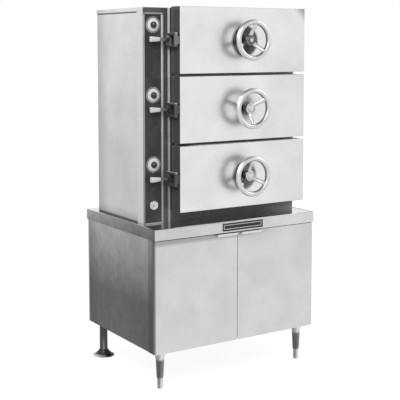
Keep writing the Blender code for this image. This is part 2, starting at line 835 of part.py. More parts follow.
def boiler_tank():
    """A dished tank on two saddles, with a heater neck at its right and a steam outlet on top."""
    half = TANK_LENGTH / 2
    bore = TANK_RADIUS - TANK_WALL
    neck_end = half + TANK_HEAD + NECK_REACH

    def right_head(radius, height, stop):
        """The right head, from the neck down to the shell."""
        rising = [p for p in dome_points(radius, height, half, 1) if p[0] > stop]
        root = half + height * math.sqrt(1 - (stop / radius) ** 2)
        return [(stop, root), *reversed(rising)]

    outside = [(NECK_RADIUS, neck_end), *right_head(TANK_RADIUS, TANK_HEAD, NECK_RADIUS)]
    outside += dome_points(TANK_RADIUS, TANK_HEAD, -half, -1)
    inside = [(NECK_BORE, neck_end), *right_head(bore, TANK_HEAD - TANK_WALL, NECK_BORE)]
    inside += dome_points(bore, TANK_HEAD - TANK_WALL, -half, -1)
    base = (0, behind(TANK_SETBACK), TANK_MIDDLE_Z)
    tank = turned("boiler_tank", [*reversed(inside), *outside], base, RIGHTWARD, BOILER_STEEL)
    saddles = []
    for side in (-1, 1):
        x = side * SADDLE_SPACING / 2
        saddle = block(
            f"saddle_{side}",
            (
                x - SADDLE_THICKNESS / 2,
                behind(TANK_SETBACK - SADDLE_WIDTH / 2),
                CASING_BASE + CASING_SHEET + TOUCH_GAP,
            ),
            (
                x + SADDLE_THICKNESS / 2,
                behind(TANK_SETBACK + SADDLE_WIDTH / 2),
                CASING_BASE + CASING_SHEET + SADDLE_RISE,
            ),
        )
        seat = rod(
            f"saddle_seat_{side}",
            (x - SADDLE_THICKNESS, base[1], TANK_MIDDLE_Z),
            (x + SADDLE_THICKNESS, base[1], TANK_MIDDLE_Z),
            TANK_RADIUS - TANK_WALL / 2,
            sides=ROUND_STEPS,
        )
        saddles.append(cut(saddle, seat))
    join(tank, *saddles)
    outlet = rod(
        "steam_outlet",
        (-OUTLET_SHIFT, base[1], TANK_MIDDLE_Z + TANK_RADIUS - 2 * TANK_WALL),
        (-OUTLET_SHIFT, base[1], TANK_MIDDLE_Z + TANK_RADIUS + OVERRUN),
        OUTLET_BORE,
    )
    return cut(tank, outlet)


def immersion_heater():
    """The flange that closes the tank's neck, with its terminal cover and heating rods."""
    face = TANK_LENGTH / 2 + TANK_HEAD + NECK_REACH + TOUCH_GAP
    back = face + HEATER_FLANGE_THICKNESS
    end = back + HEATER_COVER_LENGTH
    middle = Vector((0, behind(TANK_SETBACK), TANK_MIDDLE_Z))
    heater = turned(
        "immersion_heater",
        (
            (0, end),
            (HEATER_COVER_RADIUS, end),
            (HEATER_COVER_RADIUS, back),
            (HEATER_FLANGE_RADIUS, back),
            (HEATER_FLANGE_RADIUS, face),
            (0, face),
        ),
        middle,
        RIGHTWARD,
        IRON,
    )
    rods = []
    for index in range(HEATER_RODS):
        angle = 2 * math.pi * index / HEATER_RODS
        offset = HEATER_ROD_CIRCLE * Vector((0, math.cos(angle), math.sin(angle)))
        rods.append(
            rod(
                f"heater_rod_{index}",
                middle + offset + RIGHTWARD * (face + HEATER_FLANGE_THICKNESS / 2),
                middle + offset + RIGHTWARD * (face - HEATER_ROD_LENGTH),
                HEATER_ROD_RADIUS,
                sides=ROD_STEPS,
            )
        )
    return join(heater, *rods)


def steam_header():
    """The pipe from the tank to the three chambers, with a valve body behind each lever."""
    tank_top = TANK_MIDDLE_Z + TANK_RADIUS
    run_z = tank_top + HEADER_CLEARANCE
    top_branch = level_z(len(LEVELS) - 1) + LEVER_RISE
    tank_y = behind(TANK_SETBACK)
    riser_y = behind(RISER_SETBACK)
    header = pipe(
        "steam_header",
        (
            (-OUTLET_SHIFT, tank_y, tank_top + TOUCH_GAP),
            (-OUTLET_SHIFT, tank_y, run_z),
            (RISER_X, tank_y, run_z),
            (RISER_X, riser_y, run_z),
            (RISER_X, riser_y, top_branch + PIPE_RADIUS),
        ),
        PIPE_RADIUS,
        PIPE_BEND_RADIUS,
        BOILER_STEEL,
    )
    shell_left = DOOR_MIDDLE - SHELL_HALF_WIDTH - TOUCH_GAP
    fittings = []
    for level, name in enumerate(LEVELS):
        z = level_z(level) + LEVER_RISE
        branch = rod(
            f"branch_{name}", (RISER_X, riser_y, z), (shell_left, riser_y, z), BRANCH_RADIUS
        )
        valve = rod(
            f"valve_body_{name}",
            (LEVER_X, behind(VALVE_FRONT), z),
            (LEVER_X, behind(VALVE_FRONT + VALVE_LENGTH), z),
            VALVE_RADIUS,
        )
        fittings += [branch, valve]
    return join(header, *fittings)


def front_frame():
    """The black front with its steel returns, open at each chamber and behind the controls."""
    frame = open_box(
        "front_frame",
        (BODY_LEFT, behind(BODY_SETBACK), BODY_BASE),
        (BODY_RIGHT, behind(BODY_SETBACK + FRAME_RETURN), BODY_TOP),
        (BACKWARD, -UP),
        FRAME_SHEET,
        BLACK,
        FRAME_EDGE_RADIUS,
    )
    front, back = behind(BODY_SETBACK - OVERRUN), behind(BODY_SETBACK + FRAME_SHEET + OVERRUN)
    holes = []
    for level, name in enumerate(LEVELS):
        z = level_z(level)
        reach = Vector((SHELL_HALF_WIDTH + OPENING_GAP, 0, SHELL_HALF_HEIGHT + OPENING_GAP))
        low = Vector((DOOR_MIDDLE, front, z)) - reach
        high = Vector((DOOR_MIDDLE, back, z)) + reach
        corner = CHAMBER_CORNER + CHAMBER_WALL + OPENING_GAP
        opening = block(f"opening_{name}", low, high, radius=corner, along=BACKWARD)
        bush = round_hole(f"timer_hole_{name}", DIAL_X, z + DIAL_RISE, TIMER_BUSH_RADIUS)
        shaft = round_hole(f"shaft_hole_{name}", LEVER_X, z + LEVER_RISE, LEVER_SHAFT_RADIUS)
        holes += [opening, bush, shaft]
    gauge = round_hole("gauge_hole", DIAL_X, CABINET_TOP + GAUGE_HEIGHT, GAUGE_STUB_RADIUS)
    return cut(frame, *holes, gauge)


def round_hole(name, x, z, radius):
    """A cutter through the panel and the front sheet behind it, a little over the shaft's size."""
    return rod(
        name,
        (x, behind(PANEL_FACE - OVERRUN), z),
        (x, behind(BODY_SETBACK + FRAME_SHEET + OVERRUN), z),
        radius + HOLE_GAP,
    )


def upper_casing():
    """Sides and back of the upper body, tucked into the frame's returns."""
    left = BODY_LEFT + FRAME_SHEET + TOUCH_GAP
    right = BODY_RIGHT - FRAME_SHEET - TOUCH_GAP
    start = BODY_SETBACK + FRAME_RETURN - CASING_TUCK
    path = ((left, start), (left, BODY_REAR), (right, BODY_REAR), (right, start))
    top = BODY_TOP - FRAME_EDGE_RADIUS - TOUCH_GAP
    return folded_wall("upper_casing", path, BODY_BASE, top, UPPER_SHEET, STEEL)


def top_cover():
    """The lid behind the frame, with a lip that hangs over the sides and the back."""
    reach = COVER_SEAM + UPPER_SHEET
    inset = FRAME_SHEET + TOUCH_GAP - reach
    front = BODY_SETBACK + FRAME_RETURN + COVER_SEAM
    return open_box(
        "top_cover",
        (BODY_LEFT + inset, behind(front), BODY_TOP - COVER_LIP),
        (BODY_RIGHT - inset, behind(BODY_REAR + reach), BODY_TOP - FRAME_SHEET + UPPER_SHEET),
        (-UP, FORWARD),
        UPPER_SHEET,
        STEEL,
        0,
    )


def control_panel():
    """The black panel that carries the timers and the gauge."""
    panel = block(
        "control_panel",
        (BODY_LEFT + TRIM_EDGE + TOUCH_GAP, behind(PANEL_FACE), BODY_BASE + TRIM_EDGE + TOUCH_GAP),
        (
            BODY_LEFT + TRIM_WIDTH - TRIM_INNER_EDGE - TOUCH_GAP,
            behind(FRAME_FACE),
            BODY_BASE + TRIM_HEIGHT - TRIM_EDGE - TOUCH_GAP,
        ),
        BLACK,
    )
    holes = [
        round_hole(f"panel_hole_{name}", DIAL_X, level_z(level) + DIAL_RISE, TIMER_BUSH_RADIUS)
        for level, name in enumerate(LEVELS)
    ]
    gauge = round_hole("panel_gauge_hole", DIAL_X, CABINET_TOP + GAUGE_HEIGHT, GAUGE_STUB_RADIUS)
    return cut(panel, *holes, gauge)


def panel_trim():
    """A bright frame round the control panel, wider on its inner side."""
    trim = block(
        "panel_trim",
        (BODY_LEFT, behind(FRAME_FACE - TRIM_THICKNESS), BODY_BASE),
        (BODY_LEFT + TRIM_WIDTH, behind(FRAME_FACE), BODY_BASE + TRIM_HEIGHT),
        CHROME,
    )
    inside = block(
        "panel_trim_inside",
        (
            BODY_LEFT + TRIM_EDGE,
            behind(FRAME_FACE - TRIM_THICKNESS - OVERRUN),
            BODY_BASE + TRIM_EDGE,
        ),
        (
            BODY_LEFT + TRIM_WIDTH - TRIM_INNER_EDGE,
            behind(FRAME_FACE + OVERRUN),
            BODY_BASE + TRIM_HEIGHT - TRIM_EDGE,
        ),
    )
    return cut(trim, inside)


def strip_box(name, gap, material=None):
    """The second trim strip, or the groove that lets it pass under a bracket."""
    left = BODY_LEFT + STRIP_OFFSET
    return block(
        name,
        (left - gap, behind(FRAME_FACE - STRIP_THICKNESS - gap), BODY_BASE - gap),
        (left + STRIP_WIDTH + gap, behind(FRAME_FACE + gap), BODY_TOP + gap),
        material,
    )


def gauge():
    """A round gauge with a stub through the panel, and a needle on its own joint."""
    base = (DIAL_X, behind(PANEL_FACE - TOUCH_GAP), CABINET_TOP + GAUGE_HEIGHT)
    floor = GAUGE_DEPTH - GAUGE_RECESS
    turned(
        "gauge_case",
        (
            (0, floor),
            (GAUGE_RADIUS - GAUGE_BEZEL, floor),
            (GAUGE_RADIUS - GAUGE_BEZEL, GAUGE_DEPTH),
            (GAUGE_RADIUS - GAUGE_BEZEL / 2, GAUGE_DEPTH),
            (GAUGE_RADIUS, GAUGE_DEPTH - GAUGE_BEZEL),
            (GAUGE_RADIUS, 0),
            (GAUGE_STUB_RADIUS, 0),
            (GAUGE_STUB_RADIUS, -GAUGE_STUB_LENGTH),
            (0, -GAUGE_STUB_LENGTH),
        ),
        base,
        FORWARD,
        DIAL_WHITE,
    )
    pivot = Vector(base) + FORWARD * (floor + TOUCH_GAP)
    needle = rod(
        "gauge_needle",
        pivot,
        pivot + FORWARD * NEEDLE_HUB_LENGTH,
        NEEDLE_HUB_RADIUS,
        BLACK_PLASTIC,
        origin=pivot,
    )
    half = NEEDLE_WIDTH / 2
    blade_y = pivot.y - NEEDLE_HUB_LENGTH / 2
    blade = block(
        "needle_blade",
        (pivot.x - half, blade_y - NEEDLE_THICKNESS / 2, pivot.z),
        (pivot.x + half, blade_y + NEEDLE_THICKNESS / 2, pivot.z + NEEDLE_LENGTH),
        origin=pivot,
    )
    turn_in_place(blade, NEEDLE_TURN)
    join(needle, blade)
    carry(joint_frame("gauge_needle_axis", pivot), needle)


def timer(level, name):
    """A timer behind the panel, its dial in front of it, and its knob on its own joint."""
    z = level_z(level) + DIAL_RISE
    base = Vector((DIAL_X, behind(PANEL_FACE - TOUCH_GAP), z))
    bush_end = TIMER_CASE_FRONT + WELD_OVERLAP - PANEL_FACE
    front = DIAL_THICKNESS + DIAL_RING_RISE
    dial = turned(
        f"timer_{name}",
        (
            (0, front),
            (DIAL_RING_RADIUS, front),
            (DIAL_RING_RADIUS, DIAL_THICKNESS),
            (DIAL_RADIUS, DIAL_THICKNESS),
            (DIAL_RADIUS, 0),
            (TIMER_BUSH_RADIUS, 0),
            (TIMER_BUSH_RADIUS, -bush_end),
            (0, -bush_end),
        ),
        base,
        FORWARD,
        DIAL_WHITE,
    )
    half = TIMER_CASE_SIDE / 2
    case = block(
        f"timer_case_{name}",
        (DIAL_X - half, behind(TIMER_CASE_FRONT), z - half),
        (DIAL_X + half, behind(TIMER_CASE_FRONT + TIMER_CASE_DEPTH), z + half),
    )
    join(dial, case)
    pivot = base + FORWARD * (front + RUNNING_GAP)
    knob = turned(
        f"timer_knob_{name}",
        (
            (0, KNOB_LENGTH),
            (KNOB_NOSE_RADIUS, KNOB_LENGTH),
            (KNOB_RADIUS, KNOB_LENGTH - KNOB_NOSE),
            (KNOB_RADIUS, 0),
            (0, 0),
        ),
        pivot,
        FORWARD,
        BLACK_PLASTIC,
    )
    nose = pivot.y - KNOB_LENGTH
    slot = block(
        f"knob_slot_{name}",
        (DIAL_X - KNOB_SLOT_WIDTH / 2, nose - OVERRUN, z),
        (DIAL_X + KNOB_SLOT_WIDTH / 2, nose + KNOB_SLOT_DEPTH, z + KNOB_RADIUS + OVERRUN),
        origin=pivot,
    )
    turn_in_place(slot, -KNOB_TURN)
    cut(knob, slot)
    carry(joint_frame(f"timer_knob_{name}_axis", pivot), knob)


def valve_lever(level, name):
    """A lever on the valve's shaft, with a pale grip pushed over its tang."""
    pivot = Vector((LEVER_X, behind(LEVER_DEPTH), level_z(level) + LEVER_RISE))
    tang_start = LEVER_X - GRIP_START
    tang_end = tang_start - TANG_LENGTH
    half_bar = LEVER_BAR_THICKNESS / 2
    bar = block(
        f"valve_lever_{name}",
        (tang_start + TOUCH_GAP, pivot.y - half_bar, pivot.z - LEVER_BAR_HEIGHT / 2),
        (LEVER_X, pivot.y + half_bar, pivot.z + LEVER_BAR_HEIGHT / 2),
        DARK_STEEL,
        origin=pivot,
    )
    tang = block(
        f"lever_tang_{name}",
        (tang_end, pivot.y - half_bar, pivot.z - TANG_HEIGHT / 2),
        (tang_start + OVERRUN, pivot.y + half_bar, pivot.z + TANG_HEIGHT / 2),
    )
    boss_half = FORWARD * LEVER_BOSS_LENGTH / 2
    boss = rod(f"lever_boss_{name}", pivot + boss_half, pivot - boss_half, LEVER_BOSS_RADIUS)
    shaft_end = Vector((pivot.x, behind(VALVE_FRONT - TOUCH_GAP), pivot.z))
    shaft = rod(f"lever_shaft_{name}", pivot, shaft_end, LEVER_SHAFT_RADIUS)
    join(bar, tang, boss, shaft)
    half = Vector((0, GRIP_THICKNESS / 2, GRIP_HEIGHT / 2))
    far = Vector((tang_start - GRIP_LENGTH, pivot.y, pivot.z))
    near = Vector((tang_start, pivot.y, pivot.z))
    grip = block(
        f"lever_grip_{name}",
        far - half,
        near + half,
        PALE_PLASTIC,
        radius=GRIP_EDGE_RADIUS,
        along=RIGHTWARD,
        origin=pivot,
    )
    bore = block(
        f"grip_bore_{name}",
        (
            tang_end - TOUCH_GAP,
            pivot.y - half_bar - TOUCH_GAP,
            pivot.z - TANG_HEIGHT / 2 - TOUCH_GAP,
        ),
        (
            tang_start + OVERRUN,
            pivot.y + half_bar + TOUCH_GAP,
            pivot.z + TANG_HEIGHT / 2 + TOUCH_GAP,
        ),
    )
    cut(grip, bore)
    carry(joint_frame(f"valve_lever_{name}_axis", pivot), bar, grip)


def chamber(level, name):
    """A deep drawn box with a sealing flange, and the fork that holds the door arm's end."""
    z = level_z(level)
    middle = Vector((DOOR_MIDDLE, 0, z))
    shell_reach = Vector((SHELL_HALF_WIDTH, 0, SHELL_HALF_HEIGHT))
    rim_reach = shell_reach + Vector((FLANGE_RIM, 0, FLANGE_RIM))
    hollow_reach = Vector((CHAMBER_WIDTH / 2, 0, CHAMBER_HEIGHT / 2))

    def slab(label, reach, front, back, corner, material=None):
        low = middle - reach + BACKWARD * behind(front)
        high = middle + reach + BACKWARD * behind(back)
        return block(label, low, high, material, radius=corner, along=BACKWARD)

    shell = slab(
        f"chamber_{name}",
        shell_reach,
        FLANGE_FRONT + WELD_OVERLAP,
        CHAMBER_BACK,
        CHAMBER_CORNER + CHAMBER_WALL,
        STEEL,
    )
    rim = slab(
        f"flange_{name}", rim_reach, FLANGE_FRONT, FRAME_FACE, CHAMBER_CORNER + FLANGE_RIM
    )
    hollow = slab(
        f"hollow_{name}",
        hollow_reach,
        FLANGE_FRONT - OVERRUN,
        CHAMBER_BACK - CHAMBER_WALL,
        CHAMBER_CORNER,
    )
    lug_right = DOOR_RIGHT - FORK_INSET
    jaw_left = lug_right - FORK_WIDTH
    rim_right = DOOR_MIDDLE + rim_reach.x
    jaw_low = ARM_HEIGHT / 2 + FORK_GAP
    jaw_high = jaw_low + FORK_JAW
    lug = block(
        f"fork_lug_{name}",
        (rim_right - FLANGE_RIM / 2, behind(FLANGE_FRONT), z - jaw_high),
        (lug_right, behind(FRAME_FACE), z + jaw_high),
    )
    jaws = []
    for side in (-1, 1):
        edges = sorted((side * jaw_low, side * jaw_high))
        jaws.append(
            block(
                f"fork_jaw_{name}_{side}",
                (jaw_left, behind(FLANGE_FRONT - FORK_REACH), z + edges[0]),
                (lug_right, behind(FRAME_FACE - WELD_OVERLAP), z + edges[1]),
            )
        )
    join(shell, rim, lug, *jaws)
    return cut(shell, hollow)


def pan_rack(level, name):
    """Two side frames with ledges for pans, joined by rods and a runner on the chamber's floor."""
    floor = level_z(level) - CHAMBER_HEIGHT / 2 + TOUCH_GAP
    front = FLANGE_FRONT + RACK_FRONT_GAP
    rear = CHAMBER_BACK - CHAMBER_WALL - RACK_REAR_GAP
    foot_half = CHAMBER_WIDTH / 2 - CHAMBER_CORNER
    rod_z = floor + RACK_ROD_RADIUS
    base = floor + CHAMBER_CORNER
    runner = block(
        f"pan_rack_{name}",
        (DOOR_MIDDLE - RACK_RUNNER_WIDTH / 2, behind(front + RACK_LAP), rod_z - RACK_SHEET / 2),
        (DOOR_MIDDLE + RACK_RUNNER_WIDTH / 2, behind(rear - RACK_LAP), rod_z + RACK_SHEET / 2),
        STEEL,
    )
    shapes = []
    for place, depth in (("front", front), ("rear", rear - RACK_POST)):
        rod_y = behind(depth + RACK_POST / 2)
        shapes.append(
            rod(
                f"rack_foot_{name}_{place}",
                (DOOR_MIDDLE - foot_half, rod_y, rod_z),
                (DOOR_MIDDLE + foot_half, rod_y, rod_z),
                RACK_ROD_RADIUS,
                sides=ROD_STEPS,
            )
        )
        for side in (-1, 1):
            outer = DOOR_MIDDLE + side * (CHAMBER_WIDTH / 2 - RACK_SIDE_GAP)
            inner = outer - side * RACK_POST
            shapes.append(
                block(
                    f"rack_post_{name}_{side}_{place}",
                    (min(outer, inner), behind(depth), base),
                    (max(outer, inner), behind(depth + RACK_POST), floor + RACK_HEIGHT),
                )
            )
            knee = (DOOR_MIDDLE + side * (foot_half - RACK_ROD_RADIUS), rod_y, rod_z)
            hip = (outer - side * RACK_POST / 2, rod_y, base + RACK_POST)
            shapes.append(
                rod(
                    f"rack_knee_{name}_{side}_{place}",
                    knee,
                    hip,
                    RACK_KNEE_RADIUS,
                    sides=ROD_STEPS,
                )
            )
    pitch = (RACK_HEIGHT - CHAMBER_CORNER) / RACK_LEDGES
    for side in (-1, 1):
        root = DOOR_MIDDLE + side * (CHAMBER_WIDTH / 2 - RACK_SIDE_GAP - RACK_POST / 2)
        lip = root - side * RACK_LEDGE
        for ledge in range(RACK_LEDGES):
            z = base + RACK_POST + ledge * pitch
            shapes.append(
                block(
                    f"rack_ledge_{name}_{side}_{ledge}",
                    (min(root, lip), behind(front + RACK_LAP), z),
                    (max(root, lip), behind(rear - RACK_LAP), z + RACK_SHEET),
                )
            )
    return join(runner, *shapes)


def hinge_bracket(level, name):
    """Two ears on a web, with the door's hinge pin fixed in them."""
    z = level_z(level)
    ear_low = KNUCKLE_HEIGHT / 2 + TOUCH_GAP
    ear_high = ear_low + EAR_THICKNESS
    pin = Vector((PIN_X, behind(PIN_DEPTH), z))
    root = behind(FRAME_FACE)
    bracket = block(
        f"hinge_bracket_{name}",
        (PIN_X - EAR_RADIUS, root - WEB_DEPTH, z - ear_high),
        (PIN_X + EAR_RADIUS, root, z + ear_high),
        IRON,
    )
    shapes = []
    for side in (-1, 1):
        low, high = sorted((side * ear_low, side * ear_high))
        shapes.append(
            block(
                f"ear_{name}_{side}",
                (PIN_X - EAR_RADIUS, pin.y, z + low),
                (PIN_X + EAR_RADIUS, root - WELD_OVERLAP, z + high),
            )
        )
        shapes.append(
            rod(
                f"ear_nose_{name}_{side}",
                (pin.x, pin.y, z + low),
                (pin.x, pin.y, z + high),
                EAR_RADIUS,
            )
        )
    pin_reach = UP * (ear_high - WELD_OVERLAP)
    shapes.append(rod(f"hinge_pin_{name}", pin - pin_reach, pin + pin_reach, PIN_RADIUS))
    join(bracket, *shapes)
    return cut(bracket, strip_box(f"strip_groove_{name}", TOUCH_GAP))


def door_cover(level, name):
    """The outer pan of a steam door, its face crowned to the middle like a shallow pyramid."""
    z = level_z(level)
    half_height = DOOR_HEIGHT / 2
    bm, middle = cube_between(
        (DOOR_LEFT, behind(DOOR_SETBACK), z - half_height),
        (DOOR_RIGHT, behind(COVER_BACK), z + half_height),
    )
    bm.normal_update()
    back = [face for face in bm.faces if face.normal.dot(BACKWARD) > SAME_WAY]
    bmesh.ops.delete(bm, geom=back, context="FACES")
    face = [face for face in bm.faces if face.normal.dot(FORWARD) > SAME_WAY]
    poked = bmesh.ops.poke(bm, faces=face)
    bmesh.ops.translate(bm, vec=FORWARD * COVER_CROWN, verts=poked["verts"])
    cover = add_object(f"door_cover_{name}", mesh_of(f"door_cover_{name}", bm), middle, STEEL)
    fold_sheet(cover, COVER_SHEET, COVER_EDGE_RADIUS)
    hole = rod(
        f"spindle_hole_{name}",
        (DOOR_MIDDLE, behind(DOOR_SETBACK - COVER_CROWN - OVERRUN), z),
        (DOOR_MIDDLE, behind(ARM_FRONT), z),
        SHANK_RADIUS + COVER_HOLE_GAP,
        sides=ROUND_STEPS,
    )
    slot = block(
        f"arm_slot_{name}",
        (
            DOOR_LEFT - OVERRUN,
            behind(ARM_FRONT - TOUCH_GAP),
            z - ARM_HEIGHT / 2 - TOUCH_GAP,
        ),
        (
            DOOR_LEFT + COVER_SHEET + OVERRUN,
            behind(ARM_BACK + TOUCH_GAP),
            z + ARM_HEIGHT / 2 + TOUCH_GAP,
        ),
    )
    return cut(cover, hole, slot)


def door_arm(level, name):
    """The bar behind the cover: hinge knuckle, spindle bearing and latch end."""
    z = level_z(level)
    pin = Vector((PIN_X, behind(PIN_DEPTH), z))
    arm = block(
        f"door_arm_{name}",
        (PIN_X, behind(ARM_FRONT), z - ARM_HEIGHT / 2),
        (ARM_RIGHT, behind(ARM_BACK), z + ARM_HEIGHT / 2),
        IRON,
    )
    half = UP * KNUCKLE_HEIGHT / 2
    knuckle = rod(f"knuckle_{name}", pin - half, pin + half, EAR_RADIUS)
    bearing = rod(
        f"bearing_{name}",
        (DOOR_MIDDLE, behind(BEARING_FACE), z),
        (DOOR_MIDDLE, behind(BEARING_REAR), z),
        BEARING_RADIUS,
    )
    join(arm, knuckle, bearing)
    pin_hole = rod(
        f"pin_hole_{name}",
        pin - half - UP * OVERRUN,
        pin + half + UP * OVERRUN,
        PIN_RADIUS + RUNNING_GAP,
    )
    spindle_hole = rod(
        f"bearing_bore_{name}",
        (DOOR_MIDDLE, behind(BEARING_FACE - OVERRUN), z),
        (DOOR_MIDDLE, behind(BEARING_REAR + OVERRUN), z),
        SPINDLE_RADIUS + RUNNING_GAP,
    )
    return cut(arm, pin_hole, spindle_hole)


def pressure_plate(level, name):
    """The plate that closes a chamber, with the blind nut that the spindle screws into."""
    z = level_z(level)
    reach = Vector((SHELL_HALF_WIDTH + FLANGE_RIM, 0, SHELL_HALF_HEIGHT + FLANGE_RIM))
    reach += Vector((PRESSURE_PLATE_RIM, 0, -PLATE_SIDE_GAP))
    plate = block(
        f"pressure_plate_{name}",
        Vector((DOOR_MIDDLE, behind(PRESSURE_PLATE_FRONT), z)) - reach,
        Vector((DOOR_MIDDLE, behind(PRESSURE_PLATE_BACK), z)) + reach,
        BRIGHT_STEEL,
        radius=CHAMBER_CORNER,
        along=BACKWARD,
    )
    nut = rod(
        f"nut_{name}",
        (DOOR_MIDDLE, behind(NUT_FRONT), z),
        (DOOR_MIDDLE, behind(PRESSURE_PLATE_FRONT + WELD_OVERLAP), z),
        NUT_RADIUS,
    )
    bore = rod(
        f"nut_bore_{name}",
        (DOOR_MIDDLE, behind(NUT_FRONT - OVERRUN), z),
        (DOOR_MIDDLE, behind(PRESSURE_PLATE_FRONT - NUT_FLOOR), z),
        THREAD_RADIUS + RUNNING_GAP,
    )
    join(plate, nut)
    return cut(plate, bore)


def gasket(level, name):
    """A rubber ring between the pressure plate and the chamber's flange."""
    z = level_z(level)
    edge = FLANGE_RIM - PLATE_SIDE_GAP
    outer = Vector((SHELL_HALF_WIDTH + edge, 0, SHELL_HALF_HEIGHT + edge))
    inner = outer - Vector((GASKET_WIDTH, 0, GASKET_WIDTH))
    front = Vector((DOOR_MIDDLE, behind(GASKET_FRONT), z))
    back = Vector((DOOR_MIDDLE, behind(GASKET_BACK), z))
    corner = CHAMBER_CORNER + CHAMBER_WALL
    ring = block(
        f"gasket_{name}", front - outer, back + outer, RUBBER, radius=corner, along=BACKWARD
    )
    middle = block(
        f"gasket_middle_{name}",
        front - inner + FORWARD * OVERRUN,
        back + inner + BACKWARD * OVERRUN,
        radius=corner - GASKET_WIDTH / 2,
        along=BACKWARD,
    )
    return cut(ring, middle)


def handwheel(level, name):
    """A dished three-spoke wheel on its spindle, which the arm's bearing holds endways."""
    z = level_z(level)

    def on_axis(depth):
        return Vector((DOOR_MIDDLE, behind(depth), z))

    rim_section = []
    for step in range(RIM_SECTION_STEPS):
        angle = -2 * math.pi * step / RIM_SECTION_STEPS
        offset = RIM_TUBE_RADIUS * math.cos(angle), RIM_TUBE_RADIUS * math.sin(angle)
        rim_section.append((RIM_RADIUS + offset[0], offset[1]))
    wheel = turned(
        f"handwheel_{name}",
        rim_section,
        on_axis(RIM_DEPTH),
        FORWARD,
        CHROME,
        steps=RIM_STEPS,
        ring=True,
    )
    hub = turned(
        f"hub_{name}",
        (
            (0, HUB_LENGTH),
            (HUB_NOSE_RADIUS, HUB_LENGTH),
            (HUB_RADIUS, HUB_SHOULDER),
            (HUB_RADIUS, 0),
            (0, 0),
        ),
        on_axis(HUB_BACK),
        FORWARD,
    )
    shoulder = BEARING_FACE - TOUCH_GAP
    shapes = [
        hub,
        rod(f"shank_{name}", on_axis(HUB_FRONT + HUB_LENGTH / 2), on_axis(shoulder), SHANK_RADIUS),
        rod(f"spindle_{name}", on_axis(shoulder - OVERRUN), on_axis(COLLAR_BACK), SPINDLE_RADIUS),
        rod(
            f"collar_{name}",
            on_axis(BEARING_REAR + TOUCH_GAP),
            on_axis(COLLAR_BACK),
            COLLAR_RADIUS,
        ),
        rod(f"thread_{name}", on_axis(COLLAR_BACK - OVERRUN), on_axis(SPINDLE_END), THREAD_RADIUS),
    ]
    hub_middle = on_axis(DOOR_SETBACK - HUB_STANDOFF)
    for spoke in range(SPOKES):
        angle = WHEEL_TURNS[level] + 2 * math.pi * spoke / SPOKES
        outward = Vector((math.sin(angle), 0, math.cos(angle)))
        shapes.append(
            rod(
                f"spoke_{name}_{spoke}",
                hub_middle + outward * HUB_RADIUS / 2,
                on_axis(RIM_DEPTH) + outward * RIM_RADIUS,
                SPOKE_RADIUS,
                sides=ROD_STEPS,
            )
        )
    return join(wheel, *shapes)


def steam_door(level, name):
    """Everything that swings with one door, and what turns or slides on it."""
    z = level_z(level)
    hinge = joint_frame(f"steam_door_{name}_hinge", (PIN_X, behind(PIN_DEPTH), z))
    axis = (DOOR_MIDDLE, behind(RIM_DEPTH), z)
    turning = joint_frame(f"handwheel_{name}_axis", axis, hinge)
    sliding = joint_frame(f"pressure_plate_{name}_slide", axis, hinge)
    carry(hinge, door_cover(level, name), door_arm(level, name))
    carry(turning, handwheel(level, name))
    carry(sliding, pressure_plate(level, name), gasket(level, name))


def build():
    fixed_legs()
    cabinet_casing()
    cabinet_top()
    cabinet_door("left", -1)
    cabinet_door("right", 1)
    name_plate()
    boiler_tank()
    immersion_heater()
    steam_header()
    front_frame()
    upper_casing()
    top_cover()
    control_panel()
    panel_trim()
    strip_box("trim_strip", 0, CHROME)
    gauge()
    for level, name in enumerate(LEVELS):
        chamber(level, name)
        pan_rack(level, name)
        hinge_bracket(level, name)
        timer(level, name)
        valve_lever(level, name)
        steam_door(level, name)


build()
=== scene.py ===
# %% [markdown]
# # A three-door pressure steamer
#
# This machine cooks in three pressure chambers that sit one above the other.
# Each chamber has a thick steel door that a handwheel screws shut.
# The chambers stand on a wide cabinet, which hides the boiler that makes the steam.
# The lesson dresses the machine for a picture: it gives every sheet, casting and knob its finish,
# and makes finer copies of the pieces whose round forms catch the eye.

# %% Load the packed model
import math

import bmesh
import bpy
from mathutils import Matrix, Vector


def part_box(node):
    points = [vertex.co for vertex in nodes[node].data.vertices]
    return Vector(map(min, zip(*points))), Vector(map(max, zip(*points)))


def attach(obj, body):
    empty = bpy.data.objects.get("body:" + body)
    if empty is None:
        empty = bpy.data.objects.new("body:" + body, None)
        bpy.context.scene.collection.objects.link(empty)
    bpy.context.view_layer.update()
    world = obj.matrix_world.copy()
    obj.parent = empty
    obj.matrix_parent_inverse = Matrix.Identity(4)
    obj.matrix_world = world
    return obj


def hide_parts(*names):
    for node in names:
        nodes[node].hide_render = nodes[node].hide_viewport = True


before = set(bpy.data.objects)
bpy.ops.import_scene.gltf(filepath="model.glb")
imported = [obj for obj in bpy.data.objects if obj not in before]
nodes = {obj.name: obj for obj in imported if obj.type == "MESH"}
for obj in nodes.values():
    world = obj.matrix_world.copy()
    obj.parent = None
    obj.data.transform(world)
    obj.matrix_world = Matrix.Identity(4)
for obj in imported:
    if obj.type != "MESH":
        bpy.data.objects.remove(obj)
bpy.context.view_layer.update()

LEVELS = ("bottom", "middle", "top")

# %% [markdown]
# ## Directions
#
# The machine faces the negative Y direction, so anything on a door reaches towards negative Y.
# Naming the directions once keeps the rest of the lesson free of bare signs.

# %% Directions
UP = Vector((0, 0, 1))
DOWN = -UP
FORWARD = Vector((0, -1, 0))
BACKWARD = -FORWARD
LEFTWARD = Vector((-1, 0, 0))
RIGHTWARD = -LEFTWARD
FULL_TURN = 2 * math.pi
QUARTER_TURN = math.pi / 2
MILLIMETRE = 0.001
SHARP_ANGLE = math.radians(35)
print("sharp edges start at", round(math.degrees(SHARP_ANGLE)), "degrees")


# %% [markdown]
# ## Measuring the model
#
# The packed model knows where every node lies.
# A piece that stands for a node starts from that node's box, so the two always agree.

